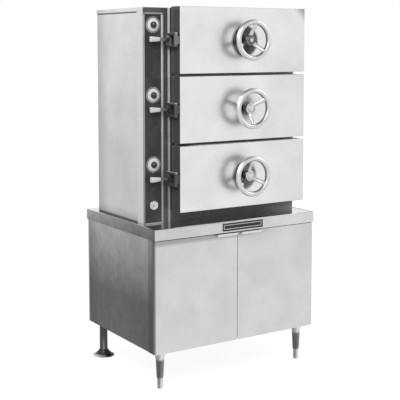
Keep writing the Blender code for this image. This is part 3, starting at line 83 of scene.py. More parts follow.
# %% Places read from the model
def middle_of(node):
    low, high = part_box(node)
    return (low + high) / 2


for label in ("handwheel_top", "timer_top", "gauge_case"):
    print(label, [round(value, 4) for value in middle_of(label)])


# %% [markdown]
# ## Turning mesh data into pieces
#
# A bmesh is Blender's workbench for mesh code: it is filled, turned into a mesh, and freed.
# Smooth shading with sharp edges kept by angle is what makes turned metal look turned.

# %% Make a piece from a bmesh
def piece_from(name, bm, material, place=(0, 0, 0)):
    bmesh.ops.recalc_face_normals(bm, faces=bm.faces)
    mesh = bpy.data.meshes.new(name)
    bm.to_mesh(mesh)
    bm.free()
    mesh.shade_smooth()
    mesh.set_sharp_from_angle(angle=SHARP_ANGLE)
    mesh.materials.append(material)
    piece = bpy.data.objects.new(name, mesh)
    piece.location = place
    bpy.context.scene.collection.objects.link(piece)
    return piece


print("pieces go into", bpy.context.scene.collection.name)


# %% [markdown]
# ## A lathe in a few lines
#
# Feet, hubs, knobs and dials are all turned on a lathe in the workshop.
# The same idea works here: a profile of radius and height is copied round an axis,
# and neighbouring copies are joined by faces.

# %% Turn a profile about an axis
TURN_STEPS = 64


def join_rings(bm, rings, steps, closed=False):
    """Faces between neighbouring rings; a ring of one vertex makes triangles."""
    pairs = list(zip(rings, rings[1:]))
    if closed:
        pairs.append((rings[-1], rings[0]))
    for lower, upper in pairs:
        for step in range(steps):
            after = (step + 1) % steps
            corners = []
            for ring, order in ((lower, (step, after)), (upper, (after, step))):
                for index in order:
                    corner = ring[0] if len(ring) == 1 else ring[index]
                    if corner not in corners:
                        corners.append(corner)
            bm.faces.new(corners)


def add_turned(bm, profile, base, direction, steps=TURN_STEPS, closed=False):
    turn = Vector(direction).to_track_quat("Z", "Y").to_matrix()
    base = Vector(base)
    rings = []
    for radius, height in profile:
        ring = []
        for step in range(steps if radius else 1):
            angle = FULL_TURN * step / steps
            spot = Vector((radius * math.cos(angle), radius * math.sin(angle), height))
            ring.append(bm.verts.new(base + turn @ spot))
        rings.append(ring)
    join_rings(bm, rings, steps, closed)


def turned_piece(name, profile, base, direction, material, steps=TURN_STEPS):
    bm = bmesh.new()
    add_turned(bm, profile, base, direction, steps)
    return piece_from(name, bm, material)


def arc(centre, radius, start, end, steps):
    """Profile points along an arc, with angles counted from the outward direction."""
    points = []
    for step in range(steps + 1):
        angle = start + (end - start) * step / steps
        reach = centre[0] + radius * math.cos(angle)
        points.append((reach, centre[1] + radius * math.sin(angle)))
    return points


print("turned pieces have", TURN_STEPS, "sides")


# %% [markdown]
# ## Rounded blocks
#
# No real casting or moulding has a knife edge.
# A box with a small bevel catches a thin highlight along each edge, which is what the eye expects.

# %% Add a box with rounded edges
BLOCK_STEPS = 3


def add_block(bm, low, high, radius):
    low, high = Vector(low), Vector(high)
    verts = bmesh.ops.create_cube(bm, size=1)["verts"]
    bmesh.ops.scale(bm, vec=high - low, verts=verts)
    bmesh.ops.translate(bm, vec=(low + high) / 2, verts=verts)
    edges = {edge for vert in verts for edge in vert.link_edges}
    bmesh.ops.bevel(
        bm, geom=list(edges), offset=radius, segments=BLOCK_STEPS, profile=0.5, affect="EDGES"
    )


print("rounded edges have", BLOCK_STEPS, "steps")


# %% [markdown]
# ## Nodes in one line
#
# A material is a web of nodes, and writing each link out hides what the web does.
# Here feed fills one socket, from another node's socket or with a plain value,
# and add_node makes a node, sets it up and feeds its open sockets in order.
# Nearly every tone of this machine is a grey, so a grey gets a short name of its own.

# %% Helpers for nodes
def grey(level):
    """A neutral colour."""
    return (level, level, level)


def feed(tree, value, socket):
    if isinstance(value, bpy.types.NodeSocket):
        tree.links.new(value, socket)
    else:
        socket.default_value = (*value, 1) if socket.type == "RGBA" else value


def add_node(tree, kind, *given, sockets=None, **settings):
    """Makes a node, feeds it, and gives back its first open output."""
    node = tree.nodes.new(kind)
    for label, value in settings.items():
        setattr(node, label, value)
    for socket, value in zip([socket for socket in node.inputs if socket.enabled], given):
        feed(tree, value, socket)
    for label, value in (sockets or {}).items():
        feed(tree, value, node.inputs[label])
    return next(socket for socket in node.outputs if socket.enabled)


print("a mid grey:", grey(0.5))


# %% [markdown]
# ## Shared shader groups
#
# Several finishes share the same effects: a brushed grain, cloudy mottling, splashes that fade
# along a sheet, and edges that hands and cloths have worn.
# Each effect is a node group that is built once. A material places it and gives it its own values.
# The groups only hand out numbers and never shaders, so each material keeps its own shader.

# %% A helper that starts a node group
FLOAT = "NodeSocketFloat"
VECTOR = "NodeSocketVector"


def start_group(name, output, inputs):
    """An empty group with a Vector input, more inputs from a table, and one output."""
    group = bpy.data.node_groups.new(name, "ShaderNodeTree")
    group.interface.new_socket("Vector", in_out="INPUT", socket_type=VECTOR)
    for label, (kind, value) in inputs.items():
        socket = group.interface.new_socket(label, in_out="INPUT", socket_type=kind)
        socket.default_value = value
    group.interface.new_socket(output, in_out="OUTPUT", socket_type=FLOAT)
    given = group.nodes.new("NodeGroupInput").outputs
    return group, given, group.nodes.new("NodeGroupOutput").inputs[output]


print("socket kinds:", FLOAT, VECTOR)


# %% [markdown]
# ### Brushed grain
#
# Stainless sheet leaves the mill with fine parallel scratches.
# Noise that is stretched a hundredfold along one direction gives them.
# The group puts out a tone near 0.5 and the same value serves as the height of a bump.

# %% Group: brushed grain
def make_grain_group():
    group, given, result = start_group(
        "Brushed grain", "Tone", {"Density": (VECTOR, (4, 4, 900)), "Detail": (FLOAT, 3)}
    )
    stretched = add_node(
        group, "ShaderNodeVectorMath", given["Vector"], given["Density"], operation="MULTIPLY"
    )
    feed(group, add_node(group, "ShaderNodeTexNoise", stretched, 1, given["Detail"]), result)
    return group


GRAIN = make_grain_group()
print("group:", GRAIN.name)


# %% [markdown]
# ### Mottling
#
# Old sheet metal is cloudy: grease, heat and polish leave patches with soft borders,
# and finer specks on top of them. Two noises of different size are added for that.

# %% Group: mottling
def make_mottle_group():
    group, given, result = start_group(
        "Mottling",
        "Tone",
        {
            "Patch Density": (FLOAT, 7),
            "Speck Density": (FLOAT, 160),
            "Speck Share": (FLOAT, 0.35),
        },
    )
    noise, places = "ShaderNodeTexNoise", given["Vector"]
    bent = {"Distortion": 0.4}
    patches = add_node(group, noise, places, given["Patch Density"], 4, sockets=bent)
    specks = add_node(group, noise, places, given["Speck Density"], 2)
    feed(group, add_node(group, "ShaderNodeMix", given["Speck Share"], patches, specks), result)
    return group


MOTTLE = make_mottle_group()
print("group:", MOTTLE.name)


# %% [markdown]
# ### Fade along a direction
#
# Splashes, floor dirt and heat all change a sheet from one end to the other.
# The group measures a place along a direction and gives 0 before the start and 1 after the end.
# With start and end close together it also tells one face of a node from another.

# %% Group: fade along a direction
def make_fade_group():
    group, given, result = start_group(
        "Fade along", "Mask", {"Direction": (VECTOR, UP), "Start": (FLOAT, 0), "End": (FLOAT, 1)}
    )
    reach = add_node(
        group, "ShaderNodeVectorMath", given["Vector"], given["Direction"], operation="DOT_PRODUCT"
    )
    mask = add_node(group, "ShaderNodeMapRange", reach, given["Start"], given["End"])
    feed(group, mask, result)
    return group


FADE = make_fade_group()
print("group:", FADE.name)


# %% [markdown]
# ### Worn edges
#
# Where two faces meet, enamel thins and steel is rubbed bright.
# Comparing the true normal with one that is rounded off near edges finds those places,
# and a noise breaks them up so that the wear isn't even.

# %% Group: worn edges
EDGE_LIKENESS = (0.995, 0.86)
WEAR_BREAKS = (0.42, 0.62)


def make_wear_group():
    group, given, result = start_group(
        "Worn edges", "Mask", {"Radius": (FLOAT, 0.0015), "Break Density": (FLOAT, 90)}
    )
    rounded = add_node(group, "ShaderNodeBevel", given["Radius"], samples=4)
    true = group.nodes.new("ShaderNodeNewGeometry").outputs["Normal"]
    likeness = add_node(group, "ShaderNodeVectorMath", rounded, true, operation="DOT_PRODUCT")
    edge = add_node(group, "ShaderNodeMapRange", likeness, *EDGE_LIKENESS)
    noise = add_node(group, "ShaderNodeTexNoise", given["Vector"], given["Break Density"], 3)
    gate = add_node(group, "ShaderNodeMapRange", noise, *WEAR_BREAKS)
    feed(group, add_node(group, "ShaderNodeMath", edge, gate, operation="MULTIPLY"), result)
    return group


WEAR = make_wear_group()
print("group:", WEAR.name)


# %% [markdown]
# ## Finding a place on a surface
#
# Every finish starts with the piece's own coordinates, so that the pattern is fixed to the piece
# and moves with it. A painter first finds a place: near an edge, low down, or facing the room.
# The methods below make masks, which are 1 in the place and 0 elsewhere. A class holds them,
# because each one needs the same material, places and normals.

# %% Masks on a surface
class Surface:
    """A new material with its shader, and the places and normals of the piece that wears it."""

    def __init__(self, name, roughness, metallic=0.0, **sockets):
        self.material = bpy.data.materials.new(name)
        self.material.use_nodes = True
        self.tree = self.material.node_tree
        self.shader = self.tree.nodes["Principled BSDF"]
        given = self.tree.nodes.new("ShaderNodeTexCoord").outputs
        self.places, self.normals = given["Object"], given["Normal"]
        self.feed(Roughness=roughness, Metallic=metallic, **sockets)

    def feed(self, **sockets):
        for label, value in sockets.items():
            feed(self.tree, value, self.shader.inputs[label.replace("_", " ")])

    def group(self, group, places=None, **values):
        node = self.tree.nodes.new("ShaderNodeGroup")
        node.node_tree = group
        feed(self.tree, places or self.places, node.inputs["Vector"])
        for label, value in values.items():
            node.inputs[label.replace("_", " ")].default_value = value
        return node.outputs[0]

    def fade(self, way, start, end, places=None):
        """0 before the start and 1 after the end, measured along a way."""
        return self.group(FADE, places, Direction=way, Start=start, End=end)

    def facing(self, way, start, end):
        """1 where the surface faces the way; start and end are cosines of the angle to it."""
        return self.fade(way, start, end, self.normals)

    def band(self, way, start, end, soft):
        """1 between two places along a way, with soft borders."""
        rise = self.fade(way, start - soft, start)
        return self.times(rise, self.fade(way, end + soft, end))

    def math(self, operation, *given):
        return add_node(self.tree, "ShaderNodeMath", *given, operation=operation)

    def vector(self, operation, *given):
        return add_node(self.tree, "ShaderNodeVectorMath", *given, operation=operation)

    def times(self, first, second):
        return self.math("MULTIPLY", first, second)

    def ranged(self, value, low, high, start=0.0, end=1.0):
        """Stretches a mask from start..end to low..high."""
        return add_node(self.tree, "ShaderNodeMapRange", value, start, end, low, high)

    def off_axis(self, axis=(0, 0, 0)):
        """The way to each place from an axis that runs from front to back."""
        return self.vector("MULTIPLY", self.vector("SUBTRACT", self.places, axis), (1, 0, 1))


print("shared groups:", [group.name for group in bpy.data.node_groups])


# %% [markdown]
# ## Painting the place
#
# The second step is paint: a tone laid over the place, or the colour there made darker
# or lighter. A finish keeps the colour reached so far, so each coat is one line,
# and the order of the lines is the order of the coats.

# %% The painter's steps
class Finish(Surface):
    """A surface being painted; colour holds what the coats so far have given."""

    def mixed(self, mask, first, second):
        """Mixes two colours, each a triple or a socket, by a mask."""
        return add_node(self.tree, "ShaderNodeMix", mask, first, second, data_type="RGBA")

    def paint(self, mask, tone):
        """Lays a grey, or a colour from a socket, over the finish where the mask is 1."""
        laid = grey(tone) if isinstance(tone, (int, float)) else tone
        self.colour = self.mixed(mask, self.colour, laid)

    def scaled(self, colour, mask, low, high, start=0.0, end=1.0):
        return self.vector("SCALE", colour, self.ranged(mask, low, high, start, end))

    def shade(self, mask, low, high):
        """Darkens or lightens the finish, from low times where the mask is 0 to high where 1."""
        self.colour = self.scaled(self.colour, mask, low, high)

    def bump(self, height, strength):
        sockets = {"Strength": strength, "Distance": MILLIMETRE, "Height": height}
        self.feed(Normal=add_node(self.tree, "ShaderNodeBump", sockets=sockets))

    def done(self):
        self.feed(Base_Color=self.colour)
        return self.material


print("painter's steps:", [step for step in vars(Finish) if not step.startswith("_")])

# %% [markdown]
# ## Stainless sheet
#
# One recipe makes all the sheets: a light and a dark grey mixed by mottling, a grain that changes
# the roughness a little, and a faint bump of the same grain.
# The steam doors are buffed to an even, pale shine, the cabinet doors are satin,
# and the sides have the duller skin of sheet that was never polished.

# %% Stainless sheet recipe
UPRIGHT_GRAIN = (700, 700, 5)
LEVEL_GRAIN = (5, 5, 700)
PATCH_BORDERS = (0.36, 0.64)


def steel_sheet(
    name, light, dark, roughness, patches=7, clouds=PATCH_BORDERS, grain=LEVEL_GRAIN, relief=1.0
):
    finish = Finish(name, roughness, metallic=1.0)
    tone = finish.group(MOTTLE, Patch_Density=patches)
    finish.colour = finish.mixed(finish.ranged(tone, 0, 1, *clouds), grey(dark), grey(light))
    lines = finish.group(GRAIN, Density=grain)
    finest, coarsest = roughness * (1 - 0.2 * relief), roughness * (1 + 0.25 * relief)
    finish.feed(Roughness=finish.ranged(lines, finest, coarsest, 0.3, 0.7))
    finish.bump(lines, 0.06 * relief)
    return finish


CHAMBER_STEEL = steel_sheet("chamber_steel", 0.62, 0.45, 0.28, patches=12).done()
RACK_STEEL = steel_sheet("rack_steel", 0.68, 0.55, 0.24, patches=30).done()
PLATE_STEEL = steel_sheet("pressure_plate_steel", 0.70, 0.58, 0.18, patches=14).done()
print("sheet finishes made so far:", len(bpy.data.materials))

# %% [markdown]
# ## Cabinet doors
#
# The cabinet doors are satin sheet. A painted shadow darkens the strip right under the lip,
# most at the left and fading out towards the right. The finger pulls are painted bright, as a
# highlight, the outer folds at the hinges are painted dark, as shade, and the folds that meet
# in the middle are painted pale, as light in the seam.

# %% Cabinet door finish
LIP_SHADE = 0.036
LIP_SHADOW_REACH = 0.016
LIP_SHADOW_SOFTNESS = 0.012
PULL_HEIGHT = 0.012
SEAM_REACH = 0.003
SEAM_RETURN = 0.0186
FOLD_WIDTH = 0.0065
PULL_HIGHLIGHT_TONE, FOLD_SHADE_TONE, SEAM_LIGHT_TONE = 0.66, 0.12, 0.95


def cabinet_door_finish():
    finish = steel_sheet("satin_door_steel", 0.63, 0.55, 0.32, grain=UPRIGHT_GRAIN)
    low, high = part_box("cabinet_door_left")[0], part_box("cabinet_door_right")[1]
    to_left = finish.fade(LEFTWARD, -high.x / 2, 0)
    # Painted shadow under the lip, strongest at the left and gone at the right.
    near_lip = finish.fade(UP, high.z - LIP_SHADE, high.z)
    lip_shadow_band = finish.fade(UP, high.z - LIP_SHADOW_REACH - LIP_SHADOW_SOFTNESS, high.z - LIP_SHADOW_REACH)
    finish.shade(finish.times(near_lip, to_left), 1, 0.86)
    finish.shade(finish.times(lip_shadow_band, to_left), 1, 0.68)
    # Painted highlight on the finger pulls.
    pull_highlight = finish.fade(FORWARD, -low.y - PULL_HEIGHT / 2, -low.y - PULL_HEIGHT / 3)
    finish.paint(pull_highlight, PULL_HIGHLIGHT_TONE)
    # Painted shade on the outer folds.
    for side, edge in ((LEFTWARD, -low.x), (RIGHTWARD, high.x)):
        finish.paint(finish.fade(side, edge - FOLD_WIDTH, edge - FOLD_WIDTH / 3), FOLD_SHADE_TONE)
    # Painted light on the returns in the seam between the doors.
    by_seam = finish.band(RIGHTWARD, -SEAM_REACH, SEAM_REACH, MILLIMETRE)
    depth = low.y + SEAM_RETURN
    behind_face = finish.fade(BACKWARD, depth, depth + MILLIMETRE)
    finish.paint(finish.times(by_seam, behind_face), SEAM_LIGHT_TONE)
    return finish.done()


SATIN_DOOR = cabinet_door_finish()
print("cabinet doors:", SATIN_DOOR.name)

# %% [markdown]
# ## Steam doors
#
# Only the face of a steam door is buffed, and it is a little darker towards its right. Its deep
# returns are dark and not metallic; those at the top and bottom are painted pale, more so away
# from the hinge, as light that reaches into the gaps between the doors. Painted shade darkens a
# corner of the top door, and the face behind each handwheel, where the wheel's shadow and dark
# reflection fall.

# %% Steam door finish
COVER_CROWN = 0.008
RETURN_START = 0.0012
CORNER_SHADE_REACH = 0.055
WHEEL_SHADE_RADII = {"bottom": (0.060, 0.074), "middle": (0.026, 0.042), "top": (0.067, 0.080)}
WHEEL_SHADE_SAG = 0.004
WHEEL_SHADE_SHARES = {"bottom": 0.80, "middle": 0.85, "top": 0.92}
WHEEL_SHADE_TONE, CORNER_SHADE_TONE, RETURN_TONE = 0.05, 0.20, 0.066
RETURN_LIGHT_FROM, RETURN_LIGHT_TO = 0.03, 0.10
RETURN_LIGHT_TONES = (0.16, 0.80)


def door_finish(level):
    finish = steel_sheet(f"buffed_door_steel_{level}", 0.80, 0.69, 0.34, patches=5, relief=0.1)
    low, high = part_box(f"door_cover_{level}")
    # The right half of the face is a little darker.
    finish.shade(finish.fade(RIGHTWARD, (low.x + high.x) / 2, high.x), 1, 0.90)
    # Painted shade behind the handwheel, for the wheel's shadow and dark reflection.
    spindle = middle_of(f"handwheel_{level}") + DOWN * WHEEL_SHADE_SAG
    reach = finish.vector("LENGTH", finish.off_axis(spindle))
    wheel_shade = finish.ranged(reach, WHEEL_SHADE_SHARES[level], 0, *WHEEL_SHADE_RADII[level])
    finish.paint(wheel_shade, WHEEL_SHADE_TONE)
    # Painted shade in the top right corner of the top door.
    if level == "top":
        slant = (RIGHTWARD + UP).normalized()
        corner = slant.dot(Vector((high.x, low.y, high.z)))
        finish.paint(finish.fade(slant, corner - CORNER_SHADE_REACH, corner), CORNER_SHADE_TONE)
    depth = low.y + COVER_CROWN + RETURN_START
    behind_face = finish.fade(BACKWARD, depth, depth + RETURN_START)
    # Painted light on the top and bottom returns, in the gaps between the doors.
    level_edge = finish.math("ADD", finish.facing(UP, 0.6, 0.9), finish.facing(DOWN, 0.6, 0.9))
    past_corner = finish.fade(RIGHTWARD, low.x + RETURN_LIGHT_FROM, low.x + RETURN_LIGHT_TO)
    painted_light = finish.mixed(past_corner, *(grey(tone) for tone in RETURN_LIGHT_TONES))
    finish.paint(behind_face, finish.mixed(level_edge, grey(RETURN_TONE), painted_light))
    finish.feed(Metallic=finish.ranged(behind_face, 1, 0))
    return finish.done()


print("returns start", round((COVER_CROWN + RETURN_START) * 1000, 1), "mm behind the crown")

# %% [markdown]
# ## Cabinet top
#
# The top is a bright sheet with a deep lip. The front lip is darker than the top, more so at its
# left. The lips at the sides are painted nearly black, as shade, darker low down and towards
# the front corners.

# %% Cabinet top finish
TOP_EDGE = 0.014
TOP_EDGE_TONE = 0.12
SIDE_LIP_SHADE_TONES = (0.115, 0.27)


def top_finish():
    finish = steel_sheet("bright_top_steel", 0.72, 0.62, 0.14)
    low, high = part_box("cabinet_top")
    along = finish.fade(RIGHTWARD, low.x, high.x)
    front_lip_tone = finish.scaled(finish.colour, along, 0.77, 0.92)
    finish.paint(finish.facing(FORWARD, 0.4, 0.8), front_lip_tone)
    # Painted shade: the side lips are nearly black, darker low down and towards the front.
    depth = finish.fade(BACKWARD, low.y, high.y)
    side_lip_shade = finish.mixed(depth, *(grey(tone) for tone in SIDE_LIP_SHADE_TONES))
    side_lip_shade = finish.scaled(side_lip_shade, finish.fade(DOWN, -high.z, -low.z), 1.08, 0.72)
    mottled = finish.group(MOTTLE, Patch_Density=16)
    side_lip_shade = finish.scaled(side_lip_shade, mottled, 0.8, 1.2, 0.35, 0.65)
    right_edge = finish.fade(RIGHTWARD, high.x - 1.5 * TOP_EDGE, high.x - TOP_EDGE)
    finish.paint(finish.times(right_edge, finish.facing(UP, 0.5, 0.8)), TOP_EDGE_TONE)
    for side in (LEFTWARD, RIGHTWARD):
        finish.paint(finish.facing(side, 0.5, 0.8), side_lip_shade)
    return finish.done()


BRIGHT_TOP = top_finish()
print("cabinet top:", BRIGHT_TOP.name)

# %% [markdown]
# ## The dull sides
#
# The cabinet's side is much darker than its doors and cloudy. Painted shade makes it darker still
# towards the floor, towards the front and at the rear.
# The upper casing is a paler version of the same skin.
# Both take a fade along the height on top of the sheet recipe.

# %% The cabinet's side
POST_DEPTH = 0.040
REAR_STRIP = 0.014
REAR_HIGHLIGHT_TONE = 0.42
REAR_SHADE = 0.110
DARK_SHARE = 0.36
EDGE_SOFTNESS = 0.003


def cabinet_side():
    """Cloudy dark sheet with painted shade, a darker post at the front and a painted highlight in
    a strip at the rear.
    """
    finish = steel_sheet(
        "dull_cabinet_steel", 0.47, 0.33, 0.45, 17, clouds=(0.32, 0.68), grain=UPRIGHT_GRAIN
    )
    low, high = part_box("cabinet_casing")
    # Painted shade: darker towards the floor, towards the front and towards the rear edge.
    finish.shade(finish.fade(UP, low.z + DARK_SHARE * (high.z - low.z), high.z), 0.26, 1)
    finish.shade(finish.fade(FORWARD, -(low.y + high.y) / 2, -low.y), 1, 0.84)
    finish.shade(finish.fade(BACKWARD, high.y - REAR_SHADE, high.y - REAR_STRIP), 1, 0.68)
    post = low.y + POST_DEPTH
    finish.shade(finish.fade(BACKWARD, post, post + 3 * EDGE_SOFTNESS), 0.68, 1)
    finish.shade(finish.fade(FORWARD, -low.y - POST_DEPTH / 2, -low.y), 1, 0.66)
    # Painted highlight along the rear edge.
    painted_light = finish.fade(BACKWARD, high.y - REAR_STRIP, high.y - REAR_STRIP / 2)
    finish.paint(painted_light, REAR_HIGHLIGHT_TONE)
    return finish.done()


CABINET_SIDE = cabinet_side()
print("cabinet side:", CABINET_SIDE.name)

# %% [markdown]
# A painted shadow makes a dark line under the lip of the cover. Another dark line runs where
# the upper casing meets the cabinet top, and the sheet is darker over its lowest quarter and
# darker still over the lowest hand's width.

# %% The upper casing
COVER_SHADOW_HEIGHT = 0.006
BASE_LINE = 0.006
LOW_DARK_HEIGHT = 0.055
COVER_SHADOW_TONE, BASE_LINE_TONE = 0.15, 0.11


def upper_side():
    """Pale dull sheet with a painted shadow under the cover's lip and a dark line along the
    cabinet top.
    """
    finish = steel_sheet("dull_upper_steel", 0.76, 0.64, 0.36, 6, grain=UPRIGHT_GRAIN)
    low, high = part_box("upper_casing")
    finish.shade(finish.fade(UP, low.z + (high.z - low.z) / 4, high.z), 0.76, 1)
    lip_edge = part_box("top_cover")[0].z
    # Painted shadow under the cover's lip.
    cover_lip_shadow = finish.band(UP, lip_edge - COVER_SHADOW_HEIGHT, lip_edge, MILLIMETRE)
    finish.paint(cover_lip_shadow, COVER_SHADOW_TONE)
    finish.shade(finish.fade(DOWN, -low.z - LOW_DARK_HEIGHT, -low.z), 1, 0.66)
    base = finish.band(UP, low.z, low.z + BASE_LINE, EDGE_SOFTNESS)
    finish.paint(base, BASE_LINE_TONE)
    finish.shade(finish.fade(BACKWARD, high.y - REAR_SHADE, high.y), 1, 0.74)
    return finish.done()


UPPER_SIDE = upper_side()
print("upper casing:", UPPER_SIDE.name)


# %% [markdown]
# ## Finishes that follow one mottling
#
# Enamel, chrome, painted iron and plastic have no grain. In each of them one cloudy pattern
# changes the colour, the gloss and the relief together, as a real skin does: where paint is
# thin it is also duller. The recipe is shared, and each kind of finish gives it its own spans.
# The control panel is the first to use it: black enamel that wiping has left uneven.

# %% Cloudy finishes
WORN_SHARE, WORN_TONE = 0.35, 0.16
WIPED_SHARE, WIPED_TONE = 0.11, 0.35


def cloudy(
    name, dark, light, roughness, gloss_span, relief, metallic=0.0, clouds=(0.35, 0.65),
    gloss_clouds=(0.3, 0.7), sockets=None, **density
):
    """The gloss span holds the least and the greatest share of the roughness."""
    finish = Finish(name, roughness, metallic, **(sockets or {}))
    tone = finish.group(MOTTLE, **density)
    finish.colour = finish.mixed(finish.ranged(tone, 0, 1, *clouds), dark, light)
    finest, coarsest = (roughness * share for share in gloss_span)
    finish.gloss = finish.ranged(tone, finest, coarsest, *gloss_clouds)
    finish.feed(Roughness=finish.gloss)
    finish.bump(tone, relief)
    return finish


def enamel(name, base, roughness, **sockets):
    """Black enamel that lets a little grey show where it is thin."""
    finish = cloudy(
        name, grey(base * 0.7), grey(base * 1.5), roughness, (0.75, 1.35), 0.05,
        clouds=(0, 1), sockets=sockets, Patch_Density=11, Speck_Density=240
    )
    finish.paint(finish.times(finish.group(WEAR), WORN_SHARE), WORN_TONE)
    return finish


def panel_finish():
    """Black enamel that wiping has left cloudy."""
    finish = enamel("panel_enamel", 0.042, 0.40, Specular_IOR_Level=0.18)
    cloud = finish.group(MOTTLE, Patch_Density=16, Speck_Density=300)
    finish.paint(finish.ranged(cloud, 0, WIPED_SHARE, 0.46, 0.64), WIPED_TONE)
    return finish.done()


PANEL_ENAMEL = panel_finish()
print("panel:", PANEL_ENAMEL.name)

# %% [markdown]
# ## Black enamel with steel returns
#
# The front frame is one folded sheet, but only its face is enamelled; the folds at its sides
# and top are bare steel, darker towards the bottom. A sharp fade along the depth tells the face
# from the folds. The enamel is paler at the lower right. Beside the trim strip it is painted
# lighter, where the trims' shade falls, and in the gaps between the doors it is painted grey,
# as light that reaches into them.

# %% Front frame finish
PALE_CORNER_START = 0.20
PALE_CORNER_HEIGHT = 0.060
PALE_CORNER_TONE = 0.30
GAP_INSET = 0.02
GAP_LIGHT_TONE = 0.50
FACE_DEPTH = 0.0025
BARE_ROUGHNESS = 0.3


def frame_finish():
    finish = enamel("front_frame_enamel", 0.034, 0.24)
    low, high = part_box("front_frame")
    # Paler at the lower right.
    at_right = finish.fade(RIGHTWARD, PALE_CORNER_START, high.x)
    low_down = finish.fade(DOWN, -low.z - PALE_CORNER_HEIGHT, -low.z)
    finish.paint(finish.times(at_right, low_down), PALE_CORNER_TONE)
    # Painted light: much lighter left of the trim strip, where the trims' shade falls, a little
    # elsewhere.
    strip_low, strip_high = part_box("trim_strip")
    finish.shade(finish.fade(RIGHTWARD, strip_low.x, strip_high.x), 1.95, 1.15)
    # Painted light in the gaps between the doors.
    for lower, upper in zip(LEVELS, LEVELS[1:]):
        door_low, door_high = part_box(f"door_cover_{lower}")
        gap_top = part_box(f"door_cover_{upper}")[0].z
        gap = finish.band(UP, door_high.z, gap_top, MILLIMETRE)
        behind_door = finish.band(RIGHTWARD, door_low.x + GAP_INSET, high.x, 2 * MILLIMETRE)
        finish.paint(finish.times(gap, behind_door), GAP_LIGHT_TONE)
    depth = low.y + FACE_DEPTH
    behind_face = finish.fade(BACKWARD, depth, depth + MILLIMETRE / 10)
    lines = finish.group(GRAIN, Density=LEVEL_GRAIN)
    steel = finish.mixed(finish.ranged(lines, 0, 1, 0.35, 0.65), grey(0.66), grey(0.74))
    finish.paint(behind_face, finish.scaled(steel, finish.fade(UP, low.z, high.z), 0.74, 1))
    gloss = add_node(finish.tree, "ShaderNodeMix", behind_face, finish.gloss, BARE_ROUGHNESS)
    finish.feed(Metallic=behind_face, Roughness=gloss)
    return finish.done()


FRAME_ENAMEL = frame_finish()
print("front frame:", FRAME_ENAMEL.name)

# %% [markdown]
# ## Bright trim and chrome
#
# The trim round the controls is bright satin metal, and the handwheels are cast and chromed.
# New chrome is nearly a mirror. Years of hands have made it satin here, with a slight waviness
# of the casting under it and their marks on top.
# The lower two hubs are faced bright on the lathe, and their sides keep a dark skin.

# %% Chrome finishes
def bright_metal(name, light, dark, roughness, wave, patches=40):
    return cloudy(
        name, grey(dark), grey(light), roughness, (0.6, 1.8), wave, metallic=1.0,
        gloss_clouds=(0.35, 0.7), Patch_Density=patches, Speck_Density=400
    )


def faced_hub_finish():
    finish = bright_metal("hub_faced_steel", 0.66, 0.54, 0.30, 0.10)
    front = finish.facing(FORWARD, 0.3, 0.7)
    finish.colour = finish.mixed(front, grey(0.12), finish.colour)
    return finish.done()


LEVER_STEEL = bright_metal("lever_steel", 0.20, 0.10, 0.30, 0.10, patches=25).done()
SPINDLE_STEEL = bright_metal("spindle_steel", 0.30, 0.18, 0.30, 0.05).done()
HUB_DARK = bright_metal("hub_dark_steel", 0.22, 0.12, 0.32, 0.10).done()
HUB_BRIGHT = bright_metal("hub_bright_steel", 0.74, 0.60, 0.26, 0.10).done()
HUB_FACED = faced_hub_finish()
print("bright metals: 5")

# %% [markdown]
# The trim is satin anodised metal, which scatters light as well as it mirrors it. It is painted
# brighter at its top than at its foot above the cabinet, and some of its bars darker, as light and
# shade.

# %% Trim finish
TRIM_METALLIC = 0.35
PANEL_BARS = (
    ("left", 0.010, 0.001, 0.60),
    ("right", 0.0035, 0.001, 0.45),
    ("top", 0.010, 0.001, 0.48),
    ("top", 0.120, 0.080, 0.92),
)


def trim_finish(name, node, foot_share, top_share, shaded_bars):
    """Each shaded bar is a side of the trim, its width, its softness and its share of the light,
    as painted shade.
    """
    finish = bright_metal(name, 0.68, 0.60, 0.38, 0.02, patches=12)
    low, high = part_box(node)
    # Painted light and shade: brighter towards the top.
    finish.shade(finish.fade(UP, low.z, high.z), foot_share, top_share)
    edges = {"left": (LEFTWARD, -low.x), "right": (RIGHTWARD, high.x), "top": (UP, high.z)}
    # Painted shade on the listed bars.
    for side, width, soft, share in shaded_bars:
        way, edge = edges[side]
        start = edge - width - soft
        finish.shade(finish.fade(way, start, start + soft), 1, share)
    finish.feed(Metallic=TRIM_METALLIC)
    return finish.done()


PANEL_TRIM = trim_finish("panel_trim_metal", "panel_trim", 0.60, 1.40, PANEL_BARS)
STRIP_TRIM = trim_finish("trim_strip_metal", "trim_strip", 0.55, 1.35, ())
print("trim:", PANEL_TRIM.name, STRIP_TRIM.name)

# %% [markdown]
# A handwheel is painted dark, as shade, on its back, the inner side of its rim, the side turned
# away to the right and the spokes at the left, and its back and inner rim are rougher.
# The wheel is modelled about its own middle, so the material
# can compare the surface's direction with the way out from the axis.

# %% Handwheel finish
SPOKE_SHADE_REACH = (0.062, 0.072)
INNER_SHADE_TONE, FAR_SHADE_TONE, SPOKE_SHADE_TONE, BACK_SHADE_TONE = 0.26, 0.22, 0.10, 0.05


